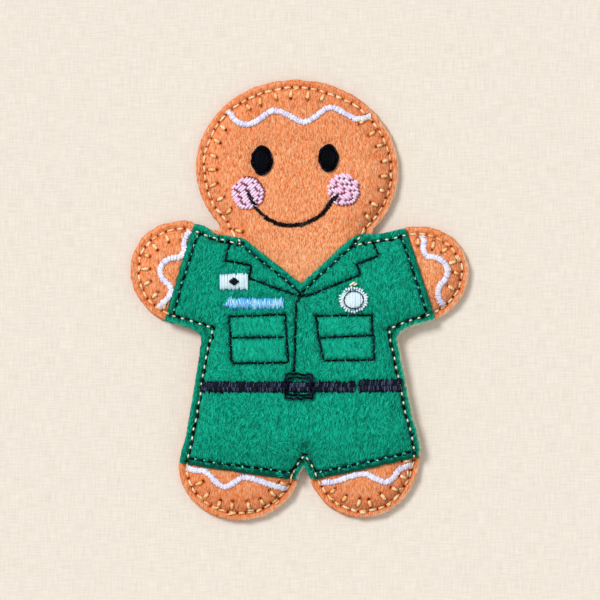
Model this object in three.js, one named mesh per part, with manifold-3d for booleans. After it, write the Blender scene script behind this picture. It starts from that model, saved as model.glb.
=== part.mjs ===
// A felt gingerbread decoration lying on its back, in millimetres.
// The figure lies in the XY plane with its head towards +Y, and its face looks up, towards +Z.
// Two orange felt layers are sewn together over a pad of wadding, and a green felt uniform is
// sewn on top. Each run of embroidery thread is its own solid, laid on the felt that carries it.
// Left and right are the viewer's, looking down on the face.

import * as THREE from "three";
import Module from "manifold-3d";

// The felt, the wadding and the seam that holds them together.
const FELT_THICKNESS = 1.1;
const LAYER_GAP = 0.2; // air between two felt layers that curve together
const LOFT = 2.2; // how far the wadding lifts the front felt
const LOFT_REACH = 7; // distance from the seam at which the front is fully lifted
const FRONT_TRIM = 0.25; // the front felt is cut this much inside the back felt
const SEAM_INSET = 1.7; // from the cut edge to the gold outline seam

// The figure's cut outline.
const HEAD_WIDTH = 46.7;
const HEAD_HEIGHT = 41;
const HEAD_DRIFT = -0.5; // the head was cut this far off the middle
const HEAD_TILT = -5; // degrees, anticlockwise
const FACE_TILT = 2.5; // the face and its icing lean the other way
const HAND_TO_HEAD = 24.2; // hand's middle to head's middle
const HAND_TO_NECK = 9.1; // hand's middle to the notch where shoulder and head meet
const NECK_WIDTH = 36.5;
const NECK_DRIFT = -1.4;
const ARM_SPAN = 78;
const HAND_WIDTH = 26;
const HAND_HEIGHT = 23.6;
const LEFT_HAND_TILT = -30;
const RIGHT_HAND_TILT = 18;
const RIGHT_HAND_TRIM = 1.1; // the right hand was cut this much lower at its top
const ARMPIT_TO_HAND = 14.2;
const CHEST_WIDTH = 45;
const ANKLE_TO_ARMPIT = 30.2;
const HIP_WIDTH = 56;
const HIP_DRIFT = 0.25;
const FOOT_HEIGHT = 12.4; // sole to ankle
const RIGHT_FOOT_TRIM = 0.6; // the right foot was cut this much shorter
const RIGHT_FOOT_RISE = 3; // and rounder, about a middle this far above the ankle
const RIGHT_FOOT_PINCH = 0.4; // and narrower on both sides
const LEG_GAP = 1.4; // between the feet at the ankles
const CROTCH_DRIFT = 0.9;
const NOTCH_FILLET = 1.3; // softness of the inner corners, as scissors leave them

// The uniform's cut edges that lie on the orange felt.
const HAND_OUT_TOP = 14.9; // how far the hand comes out of the sleeve at the shoulder
const HAND_OUT_BOTTOM = 8.2; // and under the arm
const UNDERARM_TO_SLEEVE = 4.3; // armpit level up to the lower end of the sleeve's edge
const LEFT_HEM_RISE = 3.9; // the hem climbs this much from the crotch to the left hip
const RIGHT_HEM_RISE = 5.6; // and to the right hip
const HEM_DROP = 2.8; // the hem's lowest points below the ankles
const HEM_NOTCH = 3.4; // width of the hem's gap at the crotch
const CUT_OVERRUN = 2.5; // how far a cutting line runs past the felt
const UNIFORM_SEAM_INSET = 1.4;

// Embroidery threads and satin bands.
const SEAM_THREAD = 0.5;
const LINE_THREAD = 0.42;
const SMILE_THREAD = 0.75;
const THREAD_GAP = 0.15; // between two runs sewn side by side
const THREAD_SEAT = 0.15; // clearance under a thread or a satin band
const STITCH_PITCH = 2.1;
const PRONG_PITCH = 3.6; // blanket stitch
const PRONG_LENGTH = 2.2;
const ICING_WIDTH = 1.3;
const ICING_HEIGHT = 0.5;
const EYE_WIDTH = 5.1;
const EYE_HEIGHT = 7;
const CHEEK_WIDTH = 7.5;
const FILL_HEIGHT = 0.4; // filled embroidery such as eyes and cheeks
const BELT_WIDTH = 2.7;
const BELT_END_WIDTH = 3.2;
const BELT_END_RISE = 0.3; // the loose end was sewn a little higher
const BELT_BELOW_ARMPIT = 11.7;
const BUCKLE_WIDTH = 6.8;
const BUCKLE_HEIGHT = 5.7;
const BUCKLE_RAIL = 0.7;
const PATCH_WIDTH = 6.4;
const PATCH_HEIGHT = 4;
const MARK_WIDTH = 2.2;
const STRIP_LENGTH = 14;
const STRIP_WIDTH = 2.6;
const BADGE_DIAMETER = 6.4;
const BADGE_RING = 0.55;

// Shares of a thread's width: a stitch is low and narrow where the needle went in.
const THREAD_HEIGHT_SHARE = 0.75;
const HOLE_WIDTH_SHARE = 0.55;
const HOLE_HEIGHT_SHARE = 0.35;
const SATIN_CROWN_SHARE = 0.55; // width of a satin band's top against its base

// How closely the outline is walked and how far its corners may be cut.
const TRACE_CELL = 1;
const TRACE_TOLERANCE = 0.05;
const SETTLE_TURNS = 5;
const CROWD_GAP = 0.1; // points of a loop lie at least this far apart

// Places along the body, worked out from the sizes above, about the middle of the outline.
const FIGURE_HEIGHT = FOOT_HEIGHT + ANKLE_TO_ARMPIT + ARMPIT_TO_HAND + HAND_TO_HEAD + HEAD_HEIGHT / 2;
const ankleY = FOOT_HEIGHT - FIGURE_HEIGHT / 2;
const armpitY = ankleY + ANKLE_TO_ARMPIT;
const handY = armpitY + ARMPIT_TO_HAND;
const headY = handY + HAND_TO_HEAD;
const neckY = handY + HAND_TO_NECK;
const beltY = armpitY - BELT_BELOW_ARMPIT;
const seamSpacing = SEAM_THREAD + THREAD_GAP;
const LEFT = -1;
const RIGHT = 1;

// The ellipse that a hand or a foot is cut to. Its tilt is in radians, anticlockwise.
const { degToRad } = THREE.MathUtils;

function handOf(side) {
  const trim = side === RIGHT ? RIGHT_HAND_TRIM : 0;
  const tilt = degToRad(side === RIGHT ? RIGHT_HAND_TILT : LEFT_HAND_TILT);
  const [rx, ry] = [HAND_WIDTH / 2, (HAND_HEIGHT - trim) / 2];
  const reach = Math.hypot(rx * Math.cos(tilt), ry * Math.sin(tilt));
  return { x: side * (ARM_SPAN / 2 - reach), y: handY - trim / 2, rx, ry, tilt };
}

function footOf(side) {
  const [trim, rise, pinch] = side === RIGHT ? [RIGHT_FOOT_TRIM, RIGHT_FOOT_RISE, RIGHT_FOOT_PINCH] : [0, 0, 0];
  const inner = CROTCH_DRIFT + side * (LEG_GAP / 2 - pinch);
  const outer = HIP_DRIFT + side * (HIP_WIDTH / 2 - pinch);
  return {
    x: (inner + outer) / 2,
    y: ankleY + rise,
    rx: Math.abs(outer - inner) / 2,
    ry: FOOT_HEIGHT - trim + rise,
    tilt: 0,
  };
}

// Frames that carry the embroidery: shares of the piece's half sizes, from its middle.
const faceTilt = degToRad(FACE_TILT);

function onHead([u, v]) {
  const x = (u * HEAD_WIDTH) / 2;
  const y = (v * HEAD_HEIGHT) / 2;
  return [
    HEAD_DRIFT + x * Math.cos(faceTilt) - y * Math.sin(faceTilt),
    headY + x * Math.sin(faceTilt) + y * Math.cos(faceTilt),
  ];
}

const onEllipse = ({ x, y, rx, ry }) => ([u, v]) => [x + u * rx, y + v * ry];
const onChest = ([u, v]) => [(u * CHEST_WIDTH) / 2, armpitY + (v * CHEST_WIDTH) / 2];

// Signed distances, negative inside.
function ellipseDistance(x, y, { x: cx, y: cy, rx, ry, tilt }) {
  const dx = (x - cx) * Math.cos(tilt) + (y - cy) * Math.sin(tilt);
  const dy = (y - cy) * Math.cos(tilt) - (x - cx) * Math.sin(tilt);
  const k0 = Math.hypot(dx / rx, dy / ry);
  const k1 = Math.hypot(dx / rx ** 2, dy / ry ** 2);
  return k1 === 0 ? -Math.min(rx, ry) : (k0 * (k0 - 1)) / k1;
}

function polygonDistance(x, y, corners) {
  let nearest = Infinity;
  let inside = false;
  corners.forEach(([ax, ay], i) => {
    const [bx, by] = corners[(i + 1) % corners.length];
    const ex = bx - ax;
    const ey = by - ay;
    const t = THREE.MathUtils.clamp(((x - ax) * ex + (y - ay) * ey) / (ex * ex + ey * ey), 0, 1);
    nearest = Math.min(nearest, Math.hypot(x - ax - t * ex, y - ay - t * ey));
    if (ay > y !== by > y && x < ax + (ex * (y - ay)) / ey) inside = !inside;
  });
  return inside ? -nearest : nearest;
}

function softUnion(a, b) {
  const h = Math.max(NOTCH_FILLET - Math.abs(a - b), 0) / NOTCH_FILLET;
  return Math.min(a, b) - (h * h * NOTCH_FILLET) / 4;
}

// The yoke joins the hands, the shoulders and the chest, and the trunk joins the chest and feet.
// Both reach well into their neighbours, so that no seam of the field shows inside the figure.
const REACH_SHARE = 0.8;
const SOFTENING = NOTCH_FILLET / 4; // what the soft union adds where two edges meet
const [leftHand, rightHand] = [handOf(LEFT), handOf(RIGHT)];
const [leftFoot, rightFoot] = [footOf(LEFT), footOf(RIGHT)];
const neckNotch = (side) => [NECK_DRIFT + (side * NECK_WIDTH) / 2, neckY];
const hipX = (side) => HIP_DRIFT + (side * HIP_WIDTH) / 2;
const yoke = [
  [leftHand.x, leftHand.y + leftHand.ry - SOFTENING],
  neckNotch(LEFT),
  [HEAD_DRIFT, headY],
  neckNotch(RIGHT),
  [rightHand.x, rightHand.y + rightHand.ry - SOFTENING],
  [rightHand.x + REACH_SHARE * rightHand.rx, rightHand.y],
  [rightHand.x, rightHand.y - rightHand.ry + SOFTENING],
  [CHEST_WIDTH / 2, armpitY],
  [-CHEST_WIDTH / 2, armpitY],
  [leftHand.x, leftHand.y - leftHand.ry + SOFTENING],
  [leftHand.x - REACH_SHARE * leftHand.rx, leftHand.y],
];
const trunk = [
  [(-REACH_SHARE * NECK_WIDTH) / 2, handY + REACH_SHARE * HAND_TO_NECK],
  [(REACH_SHARE * NECK_WIDTH) / 2, handY + REACH_SHARE * HAND_TO_NECK],
  [CHEST_WIDTH / 2, armpitY],
  [hipX(RIGHT) - SOFTENING, rightFoot.y],
  [rightFoot.x, rightFoot.y - REACH_SHARE * rightFoot.ry],
  [rightFoot.x - rightFoot.rx, ankleY],
  [leftFoot.x + leftFoot.rx, ankleY],
  [leftFoot.x, leftFoot.y - REACH_SHARE * leftFoot.ry],
  [hipX(LEFT) + SOFTENING, leftFoot.y],
  [-CHEST_WIDTH / 2, armpitY],
];
const head = { x: HEAD_DRIFT, y: headY, rx: HEAD_WIDTH / 2, ry: HEAD_HEIGHT / 2, tilt: degToRad(HEAD_TILT) };

// Head, hands, feet and body melted together: zero on the cut edge of the back felt.
function meltedShape(x, y) {
  return [
    ellipseDistance(x, y, head),
    ellipseDistance(x, y, leftHand),
    ellipseDistance(x, y, rightHand),
    polygonDistance(x, y, yoke),
    polygonDistance(x, y, trunk),
    ellipseDistance(x, y, leftFoot),
    ellipseDistance(x, y, rightFoot),
  ].reduce(softUnion);
}

// The cut outline itself, and the true distance from it.
const outline = thinned(levelLoops(meltedShape, 0)[0]);
const figure = (x, y) => polygonDistance(x, y, outline);

// Carries on the line from a to b past b.
function past([ax, ay], [bx, by], distance) {
  const length = Math.hypot(bx - ax, by - ay);
  return [bx + ((bx - ax) * distance) / length, by + ((by - ay) * distance) / length];
}

// What is cut away from the figure's shape to leave the uniform: the head above the neckline, the
// hands beyond the sleeves and the feet below the hems. Off the felt the cuts run clear of it.
const NECKLINE_SHARES = [
  [-0.57, 0.985],
  [0.013, 0.525],
  [0.52, 0.99],
  [0.6, 1.03],
];

function aboveNeckline() {
  const clear = (side) => [neckNotch(side)[0] + side * CUT_OVERRUN, neckY + CUT_OVERRUN];
  const beside = (side) => [
    [side * HEAD_WIDTH, headY],
    [side * HEAD_WIDTH, headY + HEAD_HEIGHT],
  ];
  return [
    neckNotch(LEFT),
    ...NECKLINE_SHARES.map(onChest),
    neckNotch(RIGHT),
    clear(RIGHT),
    ...beside(RIGHT),
    ...beside(LEFT).reverse(),
    clear(LEFT),
  ];
}

function beyondSleeve(side) {
  const top = [side * (ARM_SPAN / 2 - HAND_OUT_TOP), handOf(side).y + handOf(side).ry];
  const bottom = [side * (ARM_SPAN / 2 - HAND_OUT_BOTTOM), armpitY + UNDERARM_TO_SLEEVE];
  const [high, low] = [past(bottom, top, CUT_OVERRUN), past(top, bottom, 2 * CUT_OVERRUN)];
  return [high, low, [side * ARM_SPAN, low[1]], [side * ARM_SPAN, high[1]]];
}

function belowHems() {
  const inner = (side) => [CROTCH_DRIFT + (side * HEM_NOTCH) / 2, ankleY - HEM_DROP];
  const rise = (side) => (side === LEFT ? LEFT_HEM_RISE : RIGHT_HEM_RISE);
  const hip = (side) => [hipX(side), ankleY - HEM_DROP + rise(side)];
  const outer = (side) => past(inner(side), hip(side), 2 * CUT_OVERRUN);
  const under = (side) => [outer(side)[0], -FIGURE_HEIGHT];
  return [outer(LEFT), inner(LEFT), inner(RIGHT), outer(RIGHT), under(RIGHT), under(LEFT)];
}

const cutaways = [aboveNeckline(), beyondSleeve(LEFT), beyondSleeve(RIGHT), belowHems()];
const insideCuts = (x, y) => Math.max(...cutaways.map((cut) => -polygonDistance(x, y, cut)));
const uniform = (x, y) => Math.max(figure(x, y), insideCuts(x, y));

// Heights of the felt surfaces. The front is flat under the seam and rises over the wadding.
const ledge = SEAM_INSET + SEAM_THREAD / 2 + THREAD_GAP;

function loft(x, y) {
  const u = THREE.MathUtils.clamp((-figure(x, y) - ledge) / LOFT_REACH, 0, 1);
  return LOFT * Math.sqrt(1 - (1 - u) ** 2);
}

const frontBottom = (x, y) => FELT_THICKNESS + loft(x, y);
const frontTop = (x, y) => frontBottom(x, y) + FELT_THICKNESS;
const uniformBottom = (x, y) => frontTop(x, y) + LAYER_GAP;
const uniformTop = (x, y) => uniformBottom(x, y) + FELT_THICKNESS;

// A thread that crosses the uniform's edge starts to climb this far outside it.
const climb = STITCH_PITCH / 2 + SEAM_THREAD / 2;
const outerTop = (x, y) => (uniform(x, y) < climb ? uniformTop(x, y) : frontTop(x, y));

// Walks a field's level line, the inside on its left, and returns its closed loops of points.
function levelLoops(field, level) {
  const reach = ARM_SPAN / 2 + 2 * TRACE_CELL;
  const rise = FIGURE_HEIGHT / 2 + 2 * TRACE_CELL;
  const columns = Math.ceil((2 * reach) / TRACE_CELL);
  const rows = Math.ceil((2 * rise) / TRACE_CELL);
  const at = (i, j) => [i * TRACE_CELL - reach, j * TRACE_CELL - rise];
  const values = [];
  for (let j = 0; j <= rows; j++)
    for (let i = 0; i <= columns; i++) values.push(field(...at(i, j)) - level);
  const value = ([i, j]) => values[j * (columns + 1) + i];
  const follows = new Map();
  const places = new Map();
  for (let j = 0; j < rows; j++)
    for (let i = 0; i < columns; i++) {
      const corners = [[i, j], [i + 1, j], [i + 1, j + 1], [i, j + 1]];
      const within = corners.map((c) => value(c) < 0);
      const edgeKey = (k) => ["h", "v", "h", "v"][k] + [corners[0], corners[1], corners[3], corners[0]][k];
      for (let k = 0; k < 4; k++) {
        if (!within[k] || within[(k + 1) % 4]) continue;
        let entry = (k + 3) % 4;
        while (within[entry] || !within[(entry + 1) % 4]) entry = (entry + 3) % 4;
        const [a, b] = [corners[k], corners[(k + 1) % 4]];
        const t = value(a) / (value(a) - value(b));
        const [[ax, ay], [bx, by]] = [at(...a), at(...b)];
        places.set(edgeKey(k), [ax + t * (bx - ax), ay + t * (by - ay)]);
        follows.set(edgeKey(k), edgeKey(entry));
      }
    }
  const loops = [];
  while (follows.size) {
    const loop = [];
    let key = follows.keys().next().value;
    while (follows.has(key)) {
      loop.push(settle(places.get(key), field, level));
      const next = follows.get(key);
      follows.delete(key);
      key = next;
    }
    loops.push(loop);
  }
  return loops.sort((a, b) => b.length - a.length);
}

// Moves a point along the field's slope until it lies on the level.
function settle([x, y], field, level) {
  const step = TRACE_CELL / 100;
  for (let turn = 0; turn < SETTLE_TURNS; turn++) {
    const off = field(x, y) - level;
    const gx = (field(x + step, y) - field(x - step, y)) / (2 * step);
    const gy = (field(x, y + step) - field(x, y - step)) / (2 * step);
    const slope = gx * gx + gy * gy;
    x -= (off * gx) / slope;
    y -= (off * gy) / slope;
  }
  return [x, y];
}

function gap2([ax, ay], [bx, by]) {
  return Math.hypot(bx - ax, by - ay);
}

// Drops the points of a closed loop that lie within the tolerance of its chords.
function thinned(loop) {
  const keep = (from, to) => {
    const [a, b] = [loop[from % loop.length], loop[to % loop.length]];
    const length = gap2(a, b) || TRACE_TOLERANCE;
    let far = TRACE_TOLERANCE;
    let at = 0;
    for (let i = from + 1; i < to; i++) {
      const p = loop[i % loop.length];
      const off = Math.abs((b[0] - a[0]) * (p[1] - a[1]) - (b[1] - a[1]) * (p[0] - a[0])) / length;
      if (off > far) [far, at] = [off, i];
    }
    return at ? [...keep(from, at), ...keep(at, to)] : [a];
  };
  const half = Math.floor(loop.length / 2);
  return [...keep(0, half), ...keep(half, loop.length)];
}

// Evenly spaced points along a line, about one every pitch.
function spaced(line, pitch, closed = false) {
  const points = closed ? [...line, line[0]] : line;
  const lengths = points.slice(1).map((p, i) => gap2(points[i], p));
  const total = lengths.reduce((a, b) => a + b, 0);
  const count = Math.max(2, Math.round(total / pitch));
  const made = [];
  let segment = 0;
  let before = 0;
  for (let k = 0; k < count + (closed ? 0 : 1); k++) {
    const along = Math.min((total * k) / count, total);
    while (segment < lengths.length - 1 && before + lengths[segment] < along) before += lengths[segment++];
    const t = (along - before) / lengths[segment];
    const [[ax, ay], [bx, by]] = [points[segment], points[segment + 1]];
    made.push([ax + t * (bx - ax), ay + t * (by - ay)]);
  }
  return made;
}

// The needle holes of a line of straight stretches, one at each corner and the rest between.
function cornerStitches(corners, closed = false) {
  const ends = closed ? [...corners.slice(1), corners[0]] : corners.slice(1);
  const holes = ends.flatMap((end, i) => {
    const count = Math.max(1, Math.round(gap2(corners[i], end) / STITCH_PITCH));
    const [ax, ay] = corners[i];
    return Array.from({ length: count }, (_, k) => [
      ax + ((end[0] - ax) * k) / count,
      ay + ((end[1] - ay) * k) / count,
    ]);
  });
  return closed ? holes : [...holes, corners.at(-1)];
}

const smooth = (points, pitch) =>
  spaced(
    new THREE.CatmullRomCurve3(points.map(([x, y]) => new THREE.Vector3(x, y, 0)), false, "centripetal")
      .getPoints(8 * points.length)
      .map((p) => [p.x, p.y]),
    pitch,
  );

// A closed solid from its triangles, turned so that its faces point out.
function solidGeometry(triangles) {
  const volume = triangles.reduce((sum, [a, b, c]) => sum + a.dot(new THREE.Vector3().crossVectors(b, c)), 0);
  const facing = volume < 0 ? triangles.map(([a, b, c]) => [a, c, b]) : triangles;
  return new THREE.BufferGeometry().setFromPoints(facing.flat());
}

// A skin over rings of as many points each, with flat ends unless it closes on itself.
function skin(rings, closed = false) {
  const triangles = [];
  const size = rings[0].length;
  for (let r = 0; r < rings.length - (closed ? 0 : 1); r++) {
    const [near, far] = [rings[r], rings[(r + 1) % rings.length]];
    for (let k = 0; k < size; k++) {
      const next = (k + 1) % size;
      triangles.push([near[k], near[next], far[next]], [near[k], far[next], far[k]]);
    }
  }
  if (!closed)
    for (let k = 1; k < size - 1; k++) {
      triangles.push([rings[0][0], rings[0][k + 1], rings[0][k]]);
      triangles.push([rings.at(-1)[0], rings.at(-1)[k], rings.at(-1)[k + 1]]);
    }
  return solidGeometry(triangles);
}

// The unit sideways direction at each point of a line, lengthened at corners so that bands keep width.
function sideways(line, closed) {
  const count = line.length;
  return line.map((p, i) => {
    const before = closed || i > 0 ? line[(i + count - 1) % count] : null;
    const after = closed || i < count - 1 ? line[(i + 1) % count] : null;
    const along = [[before, p], [p, after]]
      .filter(([a, b]) => a && b)
      .map(([a, b]) => [(b[0] - a[0]) / gap2(a, b), (b[1] - a[1]) / gap2(a, b)]);
    const mean = along.reduce(([x, y], [dx, dy]) => [x + dx / along.length, y + dy / along.length], [0, 0]);
    const size = Math.max(mean[0] ** 2 + mean[1] ** 2, HOLE_WIDTH_SHARE);
    return [-mean[1] / size, mean[0] / size];
  });
}

// A run of thread through its needle holes: a three-sided tube that swells between them.
function threadRun(holes, width, top, closed = false) {
  const line = [];
  const shares = [];
  holes.forEach((hole, i) => {
    line.push(hole);
    shares.push([HOLE_WIDTH_SHARE, HOLE_HEIGHT_SHARE]);
    if (!closed && i === holes.length - 1) return;
    const next = holes[(i + 1) % holes.length];
    line.push([(hole[0] + next[0]) / 2, (hole[1] + next[1]) / 2]);
    shares.push([1, 1]);
  });
  const sides = sideways(line, closed);
  const rings = line.map(([x, y], i) => {
    const [w, h] = shares[i];
    const [sx, sy] = sides[i].map((s) => (s * w * width) / 2);
    const onFelt = (px, py) => new THREE.Vector3(px, py, top(px, py) + THREAD_SEAT);
    const crown = onFelt(x, y);
    crown.z += h * width * THREAD_HEIGHT_SHARE;
    return [onFelt(x - sx, y - sy), onFelt(x + sx, y + sy), crown];
  });
  return skin(rings, closed);
}

// A satin band: flat underneath, with a narrower crown.
function satinBand(line, width, height, top, closed = false) {
  const sides = sideways(line, closed);
  const rings = line.map(([x, y], i) => {
    const across = (share, lift) => {
      const [px, py] = [x + (sides[i][0] * share * width) / 2, y + (sides[i][1] * share * width) / 2];
      return new THREE.Vector3(px, py, top(px, py) + THREAD_SEAT + lift);
    };
    return [
      across(-1, 0),
      across(1, 0),
      across(SATIN_CROWN_SHARE, height),
      across(-SATIN_CROWN_SHARE, height),
    ];
  });
  return skin(rings, closed);
}

// A filled patch of embroidery inside a round or square edge: rings that shrink to the middle.
const RIM_SHARE = 0.85;
const MIDDLE_SHARE = 0.45;
const RIM_HEIGHT_SHARE = 0.6;

function filledPatch([cx, cy], edge, height, top) {
  const ring = (share, lift) =>
    edge.map(([dx, dy]) => {
      const [x, y] = [cx + share * dx, cy + share * dy];
      return new THREE.Vector3(x, y, top(x, y) + THREAD_SEAT + lift);
    });
  return skin([
    ring(MIDDLE_SHARE, 0),
    ring(1, 0),
    ring(RIM_SHARE, height * RIM_HEIGHT_SHARE),
    ring(MIDDLE_SHARE, height),
  ]);
}

function roundEdge(width, height, count) {
  return Array.from({ length: count }, (_, k) => {
    const angle = (2 * Math.PI * k) / count;
    return [(width / 2) * Math.cos(angle), (height / 2) * Math.sin(angle)];
  });
}

function squareEdge(width, height) {
  const [w, h] = [width / 2, height / 2];
  return [[-w, -h], [0, -h], [w, -h], [w, h], [0, h], [-w, h]];
}

// Loops that follow the outline at set insets, with as many points each: one is traced, and the
// others are settled from it outwards and inwards. A point is kept where every loop moves on.
function nestedLoops(insets) {
  const traced = insets.length - 2;
  const loops = [];
  loops[traced] = thinned(levelLoops(figure, -insets[traced])[0]);
  const settled = (loop, i) => loop.map((p) => settle(p, figure, -insets[i]));
  for (let i = traced - 1; i >= 0; i--) loops[i] = settled(loops[i + 1], i);
  for (let i = traced + 1; i < insets.length; i++) loops[i] = settled(loops[i - 1], i);
  const movesOn = (from, to) => {
    const [ax, ay] = loops[traced][from];
    const [bx, by] = loops[traced][to];
    const length = gap2([ax, ay], [bx, by]);
    return loops.every((loop) => {
      const [dx, dy] = [loop[to][0] - loop[from][0], loop[to][1] - loop[from][1]];
      return dx * (bx - ax) + dy * (by - ay) > CROWD_GAP * length;
    });
  };
  const kept = [0];
  for (let k = 1; k < loops[traced].length; k++) if (movesOn(kept.at(-1), k)) kept.push(k);
  while (!movesOn(kept.at(-1), 0)) kept.pop();
  return loops.map((loop) => kept.map((k) => loop[k]));
}

// A sheet between two surfaces, with its faces stepped along nested loops.
function layeredSheet(loops, bottom, top) {
  const raised = ([x, y], height) => new THREE.Vector3(x, y, height(x, y));
  const triangles = [];
  const addFaces = (corners) => {
    triangles.push(corners.map((p) => raised(p, top)));
    triangles.push(corners.map((p) => raised(p, bottom)).reverse());
  };
  loops.slice(1).forEach((inner, i) =>
    inner.forEach((c, k) => {
      const next = (k + 1) % inner.length;
      const [a, b, d] = [loops[i][k], loops[i][next], inner[next]];
      if (gap2(a, d) < gap2(b, c)) {
        addFaces([a, b, d]);
        addFaces([a, d, c]);
      } else {
        addFaces([a, b, c]);
        addFaces([b, d, c]);
      }
    }),
  );
  const middle = loops.at(-1).map(([x, y]) => new THREE.Vector2(x, y));
  THREE.ShapeUtils.triangulateShape(middle, []).forEach((face) => addFaces(face.map((k) => loops.at(-1)[k])));
  loops[0].forEach((p, k) => {
    const q = loops[0][(k + 1) % loops[0].length];
    const [a, b, c, d] = [raised(p, bottom), raised(q, bottom), raised(q, top), raised(p, top)];
    triangles.push([a, b, c], [a, c, d]);
  });
  return solidGeometry(triangles);
}

const wasm = await Module();
wasm.setup();

// The geometry's triangles as a solid for cutting and joining, with its shared points merged.
function toSolid(geometry) {
  const flat = geometry.index ? geometry.toNonIndexed() : geometry;
  const places = flat.getAttribute("position");
  const seen = new Map();
  const points = [];
  const corners = new Uint32Array(places.count);
  for (let i = 0; i < places.count; i++) {
    const point = [places.getX(i), places.getY(i), places.getZ(i)];
    const key = point.map((c) => c.toFixed(4)).join();
    if (!seen.has(key)) {
      seen.set(key, seen.size);
      points.push(...point);
    }
    corners[i] = seen.get(key);
  }
  return new wasm.Manifold(
    new wasm.Mesh({ numProp: 3, vertProperties: new Float32Array(points), triVerts: corners }),
  );
}

function fromSolid(solid) {
  const mesh = solid.getMesh();
  const places = new Float32Array(mesh.numVert * 3);
  for (let i = 0; i < mesh.numVert; i++)
    places.set(mesh.vertProperties.subarray(i * mesh.numProp, i * mesh.numProp + 3), i * 3);
  return new THREE.BufferGeometry()
    .setAttribute("position", new THREE.BufferAttribute(places, 3))
    .setIndex(new THREE.BufferAttribute(mesh.triVerts, 1));
}

// Materials, by what each thing is made of.
const finish = (color, roughness) => new THREE.MeshStandardMaterial({ color, roughness, metalness: 0 });
const orangeFelt = finish(0xe08048, 0.95);
const greenFelt = finish(0x0e9a6c, 0.95);
const paleWadding = finish(0xf2efe8, 1);
const goldThread = finish(0xf0bd76, 0.45);
const blackThread = finish(0x17141c, 0.5);
const whiteThread = finish(0xf1ebf8, 0.5);
const pinkThread = finish(0xf2a3c4, 0.5);
const navyThread = finish(0x232240, 0.5);
const blueThread = finish(0x86b9ea, 0.5);

const decoration = new THREE.Group();

function add(name, geometry, material) {
  const mesh = new THREE.Mesh(geometry, material);
  mesh.name = name;
  decoration.add(mesh);
}

// Felt and wadding.
function buildFelt() {
  const loftShares = [0, 0.12, 0.4, 1];
  const lifts = loftShares.map((share) => ledge + share * LOFT_REACH);
  const backEdge = outline.map(([x, y]) => new THREE.Vector2(x, y));
  const flat = { depth: FELT_THICKNESS, bevelEnabled: false };
  add("back_felt", new THREE.ExtrudeGeometry(new THREE.Shape(backEdge), flat), orangeFelt);

  const padBottom = () => FELT_THICKNESS + LAYER_GAP;
  const padTop = (x, y) => frontBottom(x, y) - LAYER_GAP;
  const loops = nestedLoops([FRONT_TRIM, ...lifts]);
  add("wadding", layeredSheet(loops.slice(2), padBottom, padTop), paleWadding);
  add("front_felt", layeredSheet(loops, frontBottom, frontTop), orangeFelt);

  const wholeSheet = toSolid(layeredSheet(loops, uniformBottom, uniformTop));
  const tall = { depth: 4 * (FELT_THICKNESS + LAYER_GAP) + LOFT, bevelEnabled: false };
  const uniformFelt = cutaways.reduce((sheet, cut) => {
    const shape = new THREE.Shape(cut.map(([x, y]) => new THREE.Vector2(x, y)));
    return sheet.subtract(toSolid(new THREE.ExtrudeGeometry(shape, tall)));
  }, wholeSheet);
  add("uniform_felt", fromSolid(uniformFelt), greenFelt);
}

// The gold seam round the whole figure, and the black one that holds the uniform.
function buildSeams() {
  const around = levelLoops(figure, -SEAM_INSET)[0];
  add("outline_seam", threadRun(spaced(around, STITCH_PITCH, true), SEAM_THREAD, outerTop, true), goldThread);

  // Along the cut sides the black run lies beside the gold one.
  const shift = SEAM_INSET + seamSpacing - UNIFORM_SEAM_INSET;
  const field = (x, y) => Math.max(figure(x, y) + shift, insideCuts(x, y));
  const edge = levelLoops(field, -UNIFORM_SEAM_INSET)[0];
  add("uniform_seam", threadRun(spaced(edge, STITCH_PITCH, true), SEAM_THREAD, uniformTop, true), blackThread);
}

// The icing's winding lines, as shares of the head, hand or foot that carries them.
const ICING = {
  head: {
    carrier: onHead,
    shares: [[-0.66, 0.68], [-0.58, 0.56], [-0.47, 0.52], [-0.37, 0.56], [-0.22, 0.66], [-0.1, 0.62],
      [0.07, 0.52], [0.19, 0.57], [0.33, 0.67], [0.44, 0.63], [0.6, 0.53], [0.74, 0.56]],
  },
  left_hand: {
    carrier: onEllipse(leftHand),
    shares: [[0.1, 0.91], [-0.02, 0.64], [-0.04, 0.42], [-0.29, 0.29], [-0.41, 0.05],
      [-0.33, -0.21], [-0.37, -0.45], [-0.51, -0.66]],
  },
  right_hand: {
    carrier: onEllipse(rightHand),
    shares: [[0.12, 0.91], [0.16, 0.54], [0.41, 0.35], [0.6, 0.01], [0.43, -0.3], [0.44, -0.49],
      [0.64, -0.63]],
  },
  left_foot: {
    carrier: onEllipse(leftFoot),
    shares: [[-0.86, -0.02], [-0.71, -0.06], [-0.56, -0.08], [-0.35, -0.31], [-0.2, -0.35], [0.04, -0.19],
      [0.22, -0.21], [0.48, -0.31], [0.78, -0.41]],
  },
  right_foot: {
    carrier: onEllipse(rightFoot),
    shares: [[-0.74, -0.46], [-0.45, -0.42], [-0.17, -0.34], [0.05, -0.3], [0.22, -0.38],
      [0.41, -0.44], [0.55, -0.36], [0.65, -0.24], [0.9, -0.16]],
  },
};

// The longest stretch of a line whose points all pass the test.
function longestStretch(line, passes) {
  const stretches = [[]];
  line.forEach((p) => (passes(p) ? stretches.at(-1).push(p) : stretches.push([])));
  return stretches.reduce((a, b) => (b.length > a.length ? b : a));
}

const blanketInset = SEAM_INSET + seamSpacing;
const icingInset = blanketInset + SEAM_THREAD / 2 + THREAD_GAP + ICING_WIDTH / 4;
const icingLines = {};

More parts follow.
